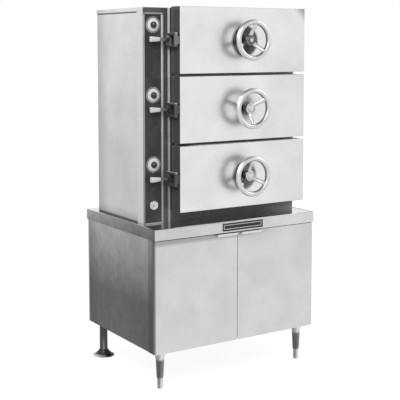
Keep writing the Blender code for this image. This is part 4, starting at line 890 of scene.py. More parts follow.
def wheel_finish():
    finish = bright_metal("wheel_chrome", 0.66, 0.54, 0.38, 0.08)
    front = finish.facing(FORWARD, -0.55, -0.15)
    flat = finish.off_axis()
    outward = finish.vector("NORMALIZE", flat)
    turned_out = finish.vector("DOT_PRODUCT", outward, finish.normals)
    not_inner = finish.ranged(turned_out, 0, 1, -0.85, -0.55)
    # Painted shade on the inner rim, the side turned away, the left spokes and the back.
    finish.colour = finish.mixed(not_inner, grey(INNER_SHADE_TONE), finish.colour)
    away = finish.facing((RIGHTWARD * 2 + FORWARD).normalized(), 0.86, 0.98)
    finish.paint(away, FAR_SHADE_TONE)
    inside = finish.ranged(finish.vector("LENGTH", flat), 1, 0, *SPOKE_SHADE_REACH)
    at_left = finish.fade(LEFTWARD, 0.45, 0.70, outward)
    finish.paint(finish.times(inside, at_left), SPOKE_SHADE_TONE)
    finish.colour = finish.mixed(front, grey(BACK_SHADE_TONE), finish.colour)
    finish.feed(Roughness=finish.ranged(finish.times(front, not_inner), 0.55, 0.34))
    return finish.done()


WHEEL_CHROME = wheel_finish()
print("wheel:", WHEEL_CHROME.name)

# %% [markdown]
# The legs are dark steel tubes, painted paler on the side that faces the light and darker on
# the other, as shade. The front legs end in a bright collar under the cabinet and stand on
# bright feet, both shaded the same way. The rear legs are painted darker, as shade, with a
# painted highlight down the lower half and another on the foot's rim.

# %% Leg finishes
COLLAR_HEIGHT = 0.046
COLLAR_SOFTNESS = 0.014
COLLAR_TONE, LEG_HIGHLIGHT_TONE, RIM_HIGHLIGHT_TONE = 0.66, 0.26, 0.85
FOOT_RIM_HEIGHT = 0.014
LIT_WAY = (RIGHTWARD + FORWARD * 2).normalized()


def front_leg_finish():
    finish = bright_metal("front_leg_steel", 0.25, 0.15, 0.36, 0.12, patches=45)
    # Painted shade on the side turned away from the light.
    finish.shade(finish.facing(LIT_WAY, 0.55, 0.90), 0.50, 1)
    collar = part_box("leg_front_left")[1].z - COLLAR_HEIGHT
    bright = finish.fade(UP, collar, collar + COLLAR_SOFTNESS)
    # The collar is bright steel, with painted shade on the side turned away.
    turned_to = finish.ranged(finish.facing(LIT_WAY, 0.2, 0.8), 0.35, 1)
    finish.paint(finish.times(bright, turned_to), COLLAR_TONE)
    return finish.done()


def rear_leg_finish():
    # The rear legs are painted darker than the front ones, as shade.
    finish = bright_metal("rear_leg_steel", 0.085, 0.050, 0.40, 0.12, patches=45)
    low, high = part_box("leg_rear_left")
    # Painted highlight down the lower half.
    line = finish.facing((LEFTWARD + FORWARD * 2).normalized(), 0.95, 0.99)
    lower = finish.fade(DOWN, -(low.z + high.z) / 2, -low.z)
    finish.paint(finish.times(line, lower), LEG_HIGHLIGHT_TONE)
    foot_low, foot_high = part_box("foot_rear_left")
    radius = (foot_high.x - foot_low.x) / 2
    # Painted highlight on the foot's rim.
    rim = finish.fade(DOWN, -FOOT_RIM_HEIGHT, -FOOT_RIM_HEIGHT / 2)
    rim_way = (LEFTWARD * 2 + FORWARD).normalized()
    axis = rim_way.dot(middle_of("foot_rear_left"))
    spot = finish.fade(rim_way, axis + 0.35 * radius, axis + 0.75 * radius)
    finish.paint(finish.times(rim, spot), RIM_HIGHLIGHT_TONE)
    return finish.done()


def front_foot_finish():
    finish = bright_metal("foot_chrome", 0.66, 0.44, 0.24, 0.10)
    # Painted shade on the side turned away from the light.
    finish.shade(finish.facing(LIT_WAY, 0.45, 0.75), 0.42, 1)
    return finish.done()


FRONT_LEG_STEEL = front_leg_finish()
REAR_LEG_STEEL = rear_leg_finish()
FOOT_CHROME = front_foot_finish()
print("legs:", FRONT_LEG_STEEL.name, REAR_LEG_STEEL.name, FOOT_CHROME.name)

# %% [markdown]
# ## Cast iron, boiler plate and rubber
#
# The door arms are castings with dark paint over a pebbly skin; that of the top one is painted
# lighter, as a highlight.
# On every rough finish, dust and painted light pale the faces that look up.
# The boiler and its pipe are mill-scaled steel, blued and lightly rusted by heat.
# The gasket is plain black rubber with a dry bloom.

# %% Rough finishes
CAST_WEAR_SHARE, CAST_WEAR_TONE = 0.5, 0.22
DUST_AND_TOP_LIGHT_TONE = 0.55


def rough_finish(name, dark, light, roughness, metallic, pebble, relief, dust_and_light=0.15):
    finish = cloudy(
        name, dark, light, roughness, (0.8, min(1.3, 1 / roughness)), relief, metallic,
        Patch_Density=22, Speck_Density=pebble, Speck_Share=0.5
    )
    worn = finish.group(WEAR, Radius=2 * MILLIMETRE)
    finish.paint(finish.times(worn, CAST_WEAR_SHARE), CAST_WEAR_TONE)
    # Dust and painted light on the faces that look up.
    finish.paint(finish.times(finish.facing(UP, 0.5, 0.9), dust_and_light), DUST_AND_TOP_LIGHT_TONE)
    return finish.done()


def arm_finish(name, dark, light):
    return rough_finish(name, grey(dark), grey(light), 0.42, 0, 500, 0.35, dust_and_light=0.7)


PAINTED_IRON = arm_finish("painted_iron", 0.045, 0.080)
# The top arm is a lighter copy, as a painted highlight.
HIGHLIT_IRON = arm_finish("highlit_iron", 0.15, 0.21)
BOILER_PLATE = rough_finish(
    "boiler_plate", (0.10, 0.09, 0.085), (0.20, 0.19, 0.185), 0.5, 0.7, 260, 0.3
)
GASKET_RUBBER = rough_finish("gasket_rubber", grey(0.018), grey(0.035), 0.7, 0, 700, 0.2)
print("rough finishes: 4")

# %% [markdown]
# The hinge brackets are painted like the frame. Their upper edges are painted pale, as a
# highlight, and the nose of the upper ear paler, as a smaller highlight; the web between the ears
# is painted paler, as light in the hollow. The nose and the web are palest on the top one.

# %% Hinge bracket finish
EDGE_HIGHLIGHT_WIDTH = 0.0018
EDGE_HIGHLIGHT_TONE = 0.46
EAR_SHARE = 0.155
NOSE_DEPTH = 0.0032
NOSE_HIGHLIGHT_TONES = {"bottom": 0.15, "middle": 0.15, "top": 0.30}
WEB_LIGHT_TONES = {"bottom": 0.12, "middle": 0.12, "top": 0.30}


def bracket_finish(level):
    finish = enamel(f"bracket_enamel_{level}", 0.056, 0.34)
    low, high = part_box(f"hinge_bracket_{level}")
    # Painted highlight on the upper edge.
    finish.paint(finish.fade(UP, high.z - EDGE_HIGHLIGHT_WIDTH, high.z), EDGE_HIGHLIGHT_TONE)
    height = high.z - low.z
    ear = high.z - height * EAR_SHARE
    # Painted highlight on the nose of the upper ear.
    upper_ear = finish.fade(UP, ear - MILLIMETRE, ear)
    nose = finish.fade(FORWARD, -low.y - NOSE_DEPTH, -low.y - NOSE_DEPTH / 2)
    finish.paint(finish.times(upper_ear, nose), NOSE_HIGHLIGHT_TONES[level])
    # Painted light in the hollow web between the ears.
    hollow = height * (0.5 - EAR_SHARE)
    middle = (low.z + high.z) / 2
    web = finish.band(UP, middle - hollow, middle + hollow, MILLIMETRE)
    finish.paint(web, WEB_LIGHT_TONES[level])
    return finish.done()


print("bracket tones:", WEB_LIGHT_TONES)

# %% [markdown]
# ## Plastics and dial paint
#
# The grips are pale moulded plastic that has yellowed very slightly, the knobs are black
# phenolic plastic, and the dials are painted white with black print.

# %% Plastics
def moulded(name, light, dark, roughness):
    return cloudy(
        name, dark, light, roughness, (0.8, 1.25), 0.08, Patch_Density=35, Speck_Density=900
    ).done()


GRIP_PLASTIC = moulded("grip_plastic", (0.77, 0.77, 0.76), (0.68, 0.68, 0.67), 0.38)
KNOB_PLASTIC = moulded("knob_plastic", grey(0.026), grey(0.016), 0.48)
DIAL_PAINT = moulded("dial_paint", grey(0.84), grey(0.78), 0.35)
GREY_PRINT = moulded("grey_print", grey(0.30), grey(0.20), 0.45)
DARK_PRINT = moulded("dark_print", grey(0.030), grey(0.018), 0.45)
PALE_PRINT = moulded("pale_print", grey(0.75), grey(0.65), 0.45)
print("plastic and paint finishes: 6")

# %% [markdown]
# ## The name plate
#
# The plate on the lip is left blank: a black field with a bright rolled edge and, a little
# further in, a fine bright line. Both come from the distance to the plate's edges,
# so one material does all three.

# %% Name plate finish
PLATE_EDGE = 0.0012
PLATE_LINE = (0.0095, 0.0125)
PLATE_LINE_TONE, PLATE_EDGE_TONE = 0.70, 0.80


def near_edge(finish, low, high, distance):
    """1 where a place on the plate is closer to an edge than the distance."""
    mask = 0
    for way, edge in ((RIGHTWARD, high.x), (LEFTWARD, -low.x), (UP, high.z), (DOWN, -low.z)):
        start = edge - distance
        mask = finish.math("MAXIMUM", mask, finish.fade(way, start, start + MILLIMETRE / 5))
    return mask


def plate_finish():
    finish = enamel("nameplate_finish", 0.008, 0.5)
    low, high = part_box("nameplate")
    edge = near_edge(finish, low, high, PLATE_EDGE)
    past_line, before_line = (near_edge(finish, low, high, reach) for reach in PLATE_LINE)
    line = finish.times(before_line, finish.ranged(past_line, 1, 0))
    finish.paint(line, PLATE_LINE_TONE)
    finish.paint(edge, PLATE_EDGE_TONE)
    finish.feed(Metallic=edge)
    return finish.done()


PLATE_FINISH = plate_finish()
print("name plate finish:", PLATE_FINISH.name)

# %% [markdown]
# ## Giving the nodes their finishes
#
# A node of the packed model keeps its shape and only gets a better material.
# A table of nodes and finishes is easier to read and to change than a line of code for each.

# %% Finishes of the nodes that stay
NODE_FINISHES = {
    "cabinet_casing": CABINET_SIDE,
    "cabinet_top": BRIGHT_TOP,
    "cabinet_door_left": SATIN_DOOR,
    "cabinet_door_right": SATIN_DOOR,
    "nameplate": PLATE_FINISH,
    "boiler_tank": BOILER_PLATE,
    "steam_header": BOILER_PLATE,
    "immersion_heater": PAINTED_IRON,
    "front_frame": FRAME_ENAMEL,
    "upper_casing": UPPER_SIDE,
    "top_cover": UPPER_SIDE,
    "control_panel": PANEL_ENAMEL,
    "panel_trim": PANEL_TRIM,
    "trim_strip": STRIP_TRIM,
    "gauge_needle": GREY_PRINT,
}
for level in LEVELS:
    NODE_FINISHES |= {
        f"door_cover_{level}": door_finish(level),
        f"hinge_bracket_{level}": bracket_finish(level),
        f"door_arm_{level}": HIGHLIT_IRON if level == "top" else PAINTED_IRON,
        f"pressure_plate_{level}": PLATE_STEEL,
        f"gasket_{level}": GASKET_RUBBER,
        f"chamber_{level}": CHAMBER_STEEL,
        f"pan_rack_{level}": RACK_STEEL,
        f"valve_lever_{level}": LEVER_STEEL,
    }
for name, material in NODE_FINISHES.items():
    slots = nodes[name].material_slots
    for slot in slots:
        slot.material = material
    if not slots:
        nodes[name].data.materials.append(material)
print("nodes with a finish of their own:", len(NODE_FINISHES))

# %% [markdown]
# ## The handwheels
#
# Each wheel is a chromed casting: a round rim, three spokes that sweep forward from the hub
# and thicken where they run into the rim, and a hub with a domed nose.
# The rim and hub are turned, and each spoke is a ring of points carried along a curve.
# That gives the soft joints of a casting, which straight rods can't.

# %% Carry a ring of points along a curve
def add_sweep(bm, path, widths, across, steps=16):
    """Lofts an oval section along a path; widths holds a pair of half sizes for each point."""
    rings = []
    for index, spot in enumerate(path):
        before = path[max(index - 1, 0)]
        after = path[min(index + 1, len(path) - 1)]
        along = (after - before).normalized()
        side = across.cross(along).normalized()
        wide, thick = widths[index]
        ring = []
        for step in range(steps):
            angle = FULL_TURN * step / steps
            offset = side * wide * math.cos(angle) + across * thick * math.sin(angle)
            flat = offset - along * offset.dot(along)
            ring.append(bm.verts.new(spot + flat))
        rings.append(ring)
    join_rings(bm, rings, steps)
    bm.faces.new(rings[0])
    bm.faces.new(list(reversed(rings[-1])))


print("sweep ready")

# %% [markdown]
# The wheel's sizes are those of the packed model, so the fine wheel fills the same space.

# %% Handwheel sizes
RIM_RADIUS = 0.0845
RIM_TUBE = 0.0119
RIM_STEPS = 96
RIM_SECTION = 24
HUB_RADIUS = 0.0258
HUB_NOSE = 0.0175
HUB_LENGTH = 0.0298
HUB_RECESS = 0.028
HUB_FINISHES = {"bottom": HUB_FACED, "middle": HUB_FACED, "top": HUB_DARK}
SPOKES = 3
SPOKE_ROOT = (0.0115, 0.0095)
SPOKE_WAIST = (0.0094, 0.0070)
SPOKE_FLARE = (0.0150, 0.0085)
SPOKE_POINTS = 14
WHEEL_TURNS = {"bottom": 0, "middle": math.radians(-62), "top": math.radians(10)}
CAP_RADIUS = 0.0085
CAP_RISE = 0.0016
print("rim outside diameter", round(2 * (RIM_RADIUS + RIM_TUBE), 4))


# %% [markdown]
# A spoke leaves the hub level, sweeps forward to the rim's middle, and is thickest at both ends.

# %% Rim, hub and spokes
def add_rim(bm):
    section = arc((RIM_RADIUS, 0), RIM_TUBE, 0, FULL_TURN, RIM_SECTION)[:-1]
    add_turned(bm, section, (0, 0, 0), FORWARD, RIM_STEPS, closed=True)


def hub_profile():
    fillet = 0.003
    return [
        (0, HUB_LENGTH),
        (HUB_NOSE * 0.45, HUB_LENGTH - 0.0002),
        (HUB_NOSE * 0.9, HUB_LENGTH - 0.0012),
        (HUB_NOSE, HUB_LENGTH - fillet),
        (HUB_NOSE + 0.0005, HUB_LENGTH - 0.0045),
        (HUB_RADIUS - fillet, HUB_LENGTH - 0.0055),
        (HUB_RADIUS - 0.0008, HUB_LENGTH - 0.0065),
        (HUB_RADIUS, HUB_LENGTH - 0.0090),
        (HUB_RADIUS, fillet),
        (HUB_RADIUS - 0.0009, 0.0009),
        (HUB_RADIUS - fillet, 0),
        (0, 0),
    ]


def clock_way(angle):
    """The direction at this angle clockwise from the top, seen from the front."""
    return Vector((math.sin(angle), 0, math.cos(angle)))


def add_spoke(bm, hub, angle):
    outward = clock_way(angle)
    start = HUB_RADIUS * 0.6
    path, widths = [], []
    for index in range(SPOKE_POINTS):
        share = index / (SPOKE_POINTS - 1)
        reach = start + (RIM_RADIUS - start) * share
        sweep = share * share * (3 - 2 * share)
        path.append(hub + outward * reach + FORWARD * hub.y * sweep)
        near = max(0, 1 - share / 0.45)
        far = max(0, (share - 0.6) / 0.4)
        pair = []
        for root, waist, flare in zip(SPOKE_ROOT, SPOKE_WAIST, SPOKE_FLARE):
            pair.append(waist + (root - waist) * near**2 + (flare - waist) * far**2)
        widths.append(pair)
    add_sweep(bm, path, widths, outward.cross(FORWARD).cross(outward).normalized())


print("hub profile points:", len(hub_profile()))

# %% [markdown]
# Behind the wheel the spindle runs through the door arm: a plain journal inside the arm, a
# shoulder in front of it, a collar behind it, and then the thread that pushes the plate.

# %% Spindle
SHANK_RADIUS = 0.0129
JOURNAL, COLLAR, THREAD = 0.0109, 0.0158, 0.0098
COLLAR_LENGTH = 0.0038
PITCH = 0.0016
CHAMFER = 0.0008
SHAFT_PLAY = 0.0003


def spindle_profile(level, hub_back):
    end = hub_back.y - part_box(f"handwheel_{level}")[1].y
    arm_low, arm_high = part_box(f"door_arm_{level}")
    shoulder = hub_back.y - arm_low.y + SHAFT_PLAY
    past_arm = hub_back.y - arm_high.y - SHAFT_PLAY
    profile = [
        (0, 0.004),
        (SHANK_RADIUS, 0.004),
        (SHANK_RADIUS, shoulder + CHAMFER),
        (JOURNAL, shoulder),
        (JOURNAL, past_arm),
        (COLLAR, past_arm),
        (COLLAR, past_arm - COLLAR_LENGTH),
        (THREAD, past_arm - COLLAR_LENGTH),
    ]
    depth = past_arm - COLLAR_LENGTH - 0.0004
    while depth - PITCH > end + CHAMFER:
        profile += [(THREAD, depth), (THREAD - CHAMFER, depth - PITCH / 2)]
        depth -= PITCH
    return [*profile, (THREAD - CHAMFER, end), (0, end)]


print("thread pitch", PITCH)

# %% [markdown]
# The rim and spokes are one casting. The hub is turned apart, pressed on, and closed by a small
# bright cap. The spindle is bare steel behind it.

# %% Build the three handwheels
def cap_profile():
    dome = arc((0, 0), CAP_RADIUS, 0, QUARTER_TURN, 6)[1:-1]
    rise = [(radius, height * CAP_RISE / CAP_RADIUS + 0.0002) for radius, height in dome]
    return [(CAP_RADIUS, -0.0006), (CAP_RADIUS, 0.0002), *rise, (0, CAP_RISE)]


for level in LEVELS:
    node = f"handwheel_{level}"
    centre = middle_of(node)
    rim_centre = Vector((centre.x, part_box(node)[0].y + RIM_TUBE, centre.z))
    hub_front = FORWARD * (RIM_TUBE - HUB_RECESS)
    hub_back = hub_front + BACKWARD * HUB_LENGTH
    bm = bmesh.new()
    add_rim(bm)
    for spoke in range(SPOKES):
        turn = WHEEL_TURNS[level] + FULL_TURN * spoke / SPOKES
        add_spoke(bm, (hub_front + hub_back) / 2, turn)
    wheel = piece_from(f"wheel_casting_{level}", bm, WHEEL_CHROME, rim_centre)
    hub = turned_piece(
        f"wheel_hub_{level}", hub_profile(), hub_back, FORWARD, HUB_FINISHES[level]
    )
    cap = turned_piece(f"wheel_cap_{level}", cap_profile(), hub_front, FORWARD, HUB_BRIGHT, 32)
    hub.location = cap.location = rim_centre
    back = rim_centre + hub_back
    profile = spindle_profile(level, back)
    spindle = turned_piece(f"wheel_spindle_{level}", profile, back, FORWARD, SPINDLE_STEEL, 32)
    for piece in (wheel, hub, cap, spindle):
        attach(piece, node)
        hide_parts(node)
print("handwheels:", len(LEVELS))

# %% [markdown]
# ## Hinge pins
#
# Each door hangs on a steel pin whose domed head sits on the upper ear of its bracket.

# %% Build the pin heads
PIN_HEAD = 0.0066
PIN_RISE = 0.0030
PIN_LIFT = 0.0003

for level in LEVELS:
    low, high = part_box(f"hinge_bracket_{level}")
    ear_radius = (high.x - low.x) / 2
    top = Vector((low.x + ear_radius, low.y + ear_radius, high.z))
    profile = [(0, -0.0002), (PIN_HEAD - 0.0004, -0.0002), (PIN_HEAD, PIN_LIFT)]
    for radius, height in arc((0, 0), PIN_HEAD, 0, QUARTER_TURN, 6)[1:-1]:
        profile.append((radius, PIN_LIFT + height * PIN_RISE / PIN_HEAD))
    profile.append((0, PIN_LIFT + PIN_RISE))
    head = turned_piece(f"hinge_pin_head_{level}", profile, top, UP, HUB_BRIGHT, 32)
    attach(head, "steamer_body")
print("pin heads:", len(LEVELS))

# %% [markdown]
# ## Timer dials
#
# Each timer has a white painted disc inside a dark ring that carries pale marks.
# The disc and ring are turned, and the marks are thin slivers of print that stand just
# proud of the ring. Twelve numbers run round it, as on any sixty-minute timer.

# %% Dial sizes
DIAL_RADIUS = 0.0378
DIAL_STEP_RADIUS = 0.0296
WHITE_RADIUS = 0.0290
NUMBER_RADIUS = 0.0303
NUMBER_LIFT = 0.0021
NUMBER_HEIGHT = 0.0042
DIAL_FRONT = 0.0052
DIAL_STEP = 0.0032
DIAL_BEAD = 0.0012
BUSH_RADIUS = 0.0118
CASE_HALF = 0.028
CASE_DEPTH = 0.0449
TICKS = 60
TICK_EDGE = 0.0010
TICK_LONG = 0.0022
TICK_SHORT = 0.0015
TICK_WIDTH = 0.0009
PRINT_DEPTH = 0.00015
print("dial diameter", round(2 * DIAL_RADIUS, 4))


# %% [markdown]
# A tick is a flat box pointing to the dial's middle. A number is a text object that is
# turned into a mesh, because a mesh rides and exports like every other piece.

# %% Ticks and numbers
def add_tick(bm, centre, angle, inner, outer, width, depth=PRINT_DEPTH):
    way = clock_way(angle)
    side = way.cross(FORWARD)
    corners = []
    for layer in (0, depth):
        for reach, half in ((inner, -1), (inner, 1), (outer, 1), (outer, -1)):
            spot = centre + way * reach + side * (half * width / 2) + FORWARD * layer
            corners.append(bm.verts.new(spot))
    bm.faces.new(corners[:4])
    bm.faces.new(corners[4:])
    for index in range(4):
        after = (index + 1) % 4
        bm.faces.new((corners[index], corners[after], corners[after + 4], corners[index + 4]))


def add_text(bm, text, spot, height):
    letters = bpy.data.curves.new("letters", "FONT")
    letters.body = text
    letters.size = height
    letters.align_x = letters.align_y = "CENTER"
    letters.extrude = PRINT_DEPTH / 2
    letters.resolution_u = 3
    holder = bpy.data.objects.new("letters", letters)
    bpy.context.scene.collection.objects.link(holder)
    bpy.context.view_layer.update()
    graph = bpy.context.evaluated_depsgraph_get()
    mesh = bpy.data.meshes.new_from_object(holder.evaluated_get(graph))
    mesh.transform(Matrix.Translation(spot) @ Matrix.Rotation(QUARTER_TURN, 4, "X"))
    bm.from_mesh(mesh)
    bpy.data.objects.remove(holder)
    bpy.data.meshes.remove(mesh)


print("numbers are", round(NUMBER_HEIGHT * 1000, 1), "mm high")

# %% [markdown]
# The dial's mesh is written round its own middle, so its material can measure from there:
# white in the middle, and dark on the ring that carries the marks.

# %% Dial form and paint
def dial_profile():
    profile = [(0, DIAL_FRONT)]
    for radius, front, back in (
        (DIAL_STEP_RADIUS, DIAL_FRONT, DIAL_STEP),
        (DIAL_RADIUS, DIAL_STEP, 0),
    ):
        profile += [
            (radius - DIAL_BEAD, front),
            (radius - DIAL_BEAD / 3, front - DIAL_BEAD / 3),
            (radius, front - DIAL_BEAD),
            (radius, back),
        ]
    return [*profile, (BUSH_RADIUS, 0)]


def dial_finish():
    finish = Finish("timer_dial_paint", 0.35)
    tone = finish.group(MOTTLE, Patch_Density=35, Speck_Density=900)
    reach = finish.vector("LENGTH", finish.off_axis())
    off_white, past_numbers = (
        finish.ranged(reach, 0, 1, radius, radius + MILLIMETRE / 5)
        for radius in (WHITE_RADIUS, NUMBER_RADIUS)
    )
    ring = finish.mixed(finish.ranged(tone, 0, 1, 0.4, 0.6), grey(0.12), grey(0.32))
    ring = finish.mixed(past_numbers, finish.mixed(tone, grey(0.44), grey(0.60)), ring)
    finish.colour = finish.mixed(tone, grey(0.76), grey(0.88))
    finish.paint(off_white, ring)
    finish.feed(Roughness=finish.ranged(tone, 0.28, 0.44, 0.3, 0.7))
    return finish.done()


TIMER_PAINT = dial_finish()
print("dial:", TIMER_PAINT.name)


# %% [markdown]
# The case behind the panel is a plain block with a bush that passes through the panel.
# Ticks and numbers are pieces of their own, so each keeps one colour of print.

# %% Build the three timers
def dial_ticks(base):
    bm = bmesh.new()
    edge = DIAL_RADIUS - TICK_EDGE
    step_face = base + FORWARD * DIAL_STEP
    for tick in range(TICKS):
        length, width = (TICK_SHORT, TICK_WIDTH) if tick % 5 else (TICK_LONG, 2 * TICK_WIDTH)
        add_tick(bm, step_face, FULL_TURN * tick / TICKS, edge - length, edge, width)
    return bm


def dial_numbers(base):
    bm = bmesh.new()
    face = base + FORWARD * (DIAL_STEP + PRINT_DEPTH / 2)
    for hour in range(12):
        spot = face + clock_way(FULL_TURN * hour / 12) * (NUMBER_RADIUS + NUMBER_LIFT)
        add_text(bm, str(hour * 5), spot, NUMBER_HEIGHT)
    return bm


def timer_case(base, back):
    bm = bmesh.new()
    bush = [(0, 0), (BUSH_RADIUS, 0), (BUSH_RADIUS, -0.0050), (0, -0.0050)]
    add_turned(bm, bush, base, FORWARD, 32)
    low = (base.x - CASE_HALF, back - CASE_DEPTH, base.z - CASE_HALF)
    add_block(bm, low, (base.x + CASE_HALF, back, base.z + CASE_HALF), 0.002)
    return bm


for level in LEVELS:
    node = f"timer_{level}"
    low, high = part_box(node)
    knob = middle_of(f"timer_knob_{level}")
    base = Vector((knob.x, low.y + DIAL_FRONT, knob.z))
    face = turned_piece(
        f"timer_dial_{level}", dial_profile(), (0, 0, 0), FORWARD, TIMER_PAINT, 96
    )
    face.location = base
    case = piece_from(f"timer_case_{level}", timer_case(base, high.y), KNOB_PLASTIC)
    ticks = piece_from(f"timer_ticks_{level}", dial_ticks(base), PALE_PRINT)
    numbers = piece_from(f"timer_numbers_{level}", dial_numbers(base), DARK_PRINT)
    for piece in (face, case, ticks, numbers):
        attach(piece, "steamer_body")
        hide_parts(node)
print("timers:", len(LEVELS))

# %% [markdown]
# ## Timer knobs
#
# The knobs are moulded in black plastic with a fluted side for the fingers,
# and a white line that shows the time left. A wavy radius gives the flutes.

# %% Build the three knobs
KNOB_RADIUS = 0.0149
KNOB_TOP_RADIUS = 0.0128
KNOB_LENGTH = 0.0089
KNOB_STEPS = 144
FLUTES = 18
FLUTE_DEPTH = 0.0006
POINTER_ANGLE = math.radians(-45)
POINTER_INNER, POINTER_WIDTH, POINTER_DEPTH = 0.0020, 0.0022, 0.0005
KNOB_PROFILE = (
    (0, 0, 0),
    (KNOB_RADIUS, 0, 0),
    (KNOB_RADIUS, 0.0012, 0),
    (KNOB_RADIUS - 0.0004, 0.0018, 1),
    (KNOB_RADIUS - 0.0008, 0.0062, 1),
    (KNOB_TOP_RADIUS, 0.0076, 0.6),
    (KNOB_TOP_RADIUS - 0.0010, 0.0085, 0),
    (KNOB_TOP_RADIUS - 0.0024, KNOB_LENGTH - 0.0003, 0),
    (0, KNOB_LENGTH - 0.0005, 0),
)


def add_knob(bm, base):
    """Each profile point is a radius, a height and the share of the flutes' depth."""
    rings = []
    for radius, height, fluted in KNOB_PROFILE:
        ring = []
        for step in range(KNOB_STEPS if radius else 1):
            angle = FULL_TURN * step / KNOB_STEPS
            dent = FLUTE_DEPTH * fluted * (0.5 + 0.5 * math.cos(FLUTES * angle))
            ring.append(bm.verts.new(base + clock_way(angle) * (radius - dent) + FORWARD * height))
        rings.append(ring)
    join_rings(bm, rings, KNOB_STEPS)


for level in LEVELS:
    node = f"timer_knob_{level}"
    middle = middle_of(node)
    base = Vector((middle.x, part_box(node)[1].y, middle.z))
    bm = bmesh.new()
    add_knob(bm, base)
    knob = piece_from(f"timer_knob_moulding_{level}", bm, KNOB_PLASTIC)
    bm = bmesh.new()
    tip = base + FORWARD * (KNOB_LENGTH - 0.0007)
    outer = KNOB_TOP_RADIUS - 0.0024
    add_tick(bm, tip, POINTER_ANGLE, POINTER_INNER, outer, POINTER_WIDTH, POINTER_DEPTH)
    pointer = piece_from(f"timer_pointer_{level}", bm, PALE_PRINT)
    for piece in (knob, pointer):
        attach(piece, node)
        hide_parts(node)
print("knobs:", len(LEVELS))

# %% [markdown]
# ## The pressure gauge
#
# The gauge is a small pressed case with a bright bezel and a white face with fine marks.
# Its needle is a node of the model, so that it can turn. A stub goes through the panel.

# %% Build the gauge
GAUGE_RADIUS = 0.0214
GAUGE_FLOOR = 0.0040
GAUGE_DEPTH = 0.0079
GAUGE_FRONT = 0.0080
BEZEL = 0.0028
STUB_RADIUS = 0.0129
STUB_END = -0.0298
GAUGE_SWEEP = math.radians(270)
GAUGE_TICKS = 31
GAUGE_NUMBERS = 4
GAUGE_TICK_OUTER, GAUGE_TICK_WIDTH = 0.0176, 0.0004
GAUGE_TICK_LONG, GAUGE_TICK_SHORT = 0.0150, 0.0162
GAUGE_NUMBER_RADIUS, GAUGE_NUMBER_HEIGHT = 0.0122, 0.0032

gauge_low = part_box("gauge_case")[0]
gauge_middle = middle_of("gauge_case")
gauge_base = Vector((gauge_middle.x, gauge_low.y + GAUGE_FRONT, gauge_middle.z))
bezel_centre = (GAUGE_RADIUS - BEZEL / 2, GAUGE_DEPTH - BEZEL / 2)
face_height = GAUGE_FLOOR + 0.0001
case_profile = [
    (GAUGE_RADIUS - BEZEL, GAUGE_FLOOR),
    (GAUGE_RADIUS - BEZEL, GAUGE_DEPTH - 0.0008),
    *arc(bezel_centre, BEZEL / 2, math.pi, 0, 8),
    (GAUGE_RADIUS, 0.0010),
    (GAUGE_RADIUS - 0.0010, 0),
    (STUB_RADIUS, 0),
    (STUB_RADIUS, STUB_END),
    (0, STUB_END),
]
face_profile = [(0, face_height), (GAUGE_RADIUS - BEZEL, face_height)]
gauge_body = turned_piece("gauge_body", case_profile, gauge_base, FORWARD, HUB_BRIGHT, 96)
gauge_face = turned_piece("gauge_face", face_profile, gauge_base, FORWARD, DIAL_PAINT, 96)
bm = bmesh.new()
gauge_print = gauge_base + FORWARD * face_height
for tick in range(GAUGE_TICKS):
    angle = GAUGE_SWEEP * (tick / (GAUGE_TICKS - 1) - 0.5)
    inner = GAUGE_TICK_SHORT if tick % 5 else GAUGE_TICK_LONG
    add_tick(bm, gauge_print, angle, inner, GAUGE_TICK_OUTER, GAUGE_TICK_WIDTH)
for mark in range(GAUGE_NUMBERS):
    way = clock_way(GAUGE_SWEEP * (mark / (GAUGE_NUMBERS - 1) - 0.5))
    spot = gauge_print + way * GAUGE_NUMBER_RADIUS + FORWARD * PRINT_DEPTH / 2
    add_text(bm, str(mark * 10), spot, GAUGE_NUMBER_HEIGHT)
gauge_marks = piece_from("gauge_marks", bm, GREY_PRINT)
for piece in (gauge_body, gauge_face, gauge_marks):
    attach(piece, "steamer_body")
    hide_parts("gauge_case")
print("gauge at", [round(value, 3) for value in gauge_base])

# %% [markdown]
# ## Valve lever grips
#
# The grips are pale blocks of moulded plastic, rounded along every edge and tapered
# towards the lever.

# %% Build the three grips
GRIP_TAPER = 0.66
GRIP_EDGE = 0.0036

for level in LEVELS:
    node = f"lever_grip_{level}"
    low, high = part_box(node)
    bm = bmesh.new()
    add_block(bm, low, high, GRIP_EDGE)
    middle = (low + high) / 2
    for vert in bm.verts:
        share = max(0, (vert.co.x - middle.x) / (high.x - middle.x))
        scale = 1 - (1 - GRIP_TAPER) * share
        vert.co.z = middle.z + (vert.co.z - middle.z) * scale
    grip = piece_from(f"valve_grip_{level}", bm, GRIP_PLASTIC)
    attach(grip, f"valve_lever_{level}")
    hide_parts(node)
print("grips:", len(LEVELS))

# %% [markdown]
# ## Legs and feet
#
# The front legs start with a flared socket under the cabinet, run down as a slim taper,
# and stand on bullet feet. The rear legs are straight tubes on flanged feet
# that could be bolted to the floor. Each one is a profile for the lathe.

# %% Leg and foot profiles
STUD_RADIUS = 0.0068
STUD_HEIGHT = 0.028
FLANGE_STEM = 0.0212
FLANGE_RIM = 0.0032
FOOT_GAP = 0.0003


def front_leg_profile(height):
    return [
        (0.0070, 0.0006),
        (0.0151, 0.0006),
        (0.0159, 0.0014),
        (0.0186, height - 0.064),
        (0.0198, height - 0.042),
        (0.0220, height - 0.028),
        (0.0242, height - 0.016),
        (0.0250, height - 0.006),
        (0.0258, height - 0.0015),
        (0.0252, height),
        (0, height),
    ]


def rear_leg_profile(height):
    return [(0.0070, 0.0006), (0.0190, 0.0006), (0.0199, 0.0014), (0.0199, height), (0, height)]


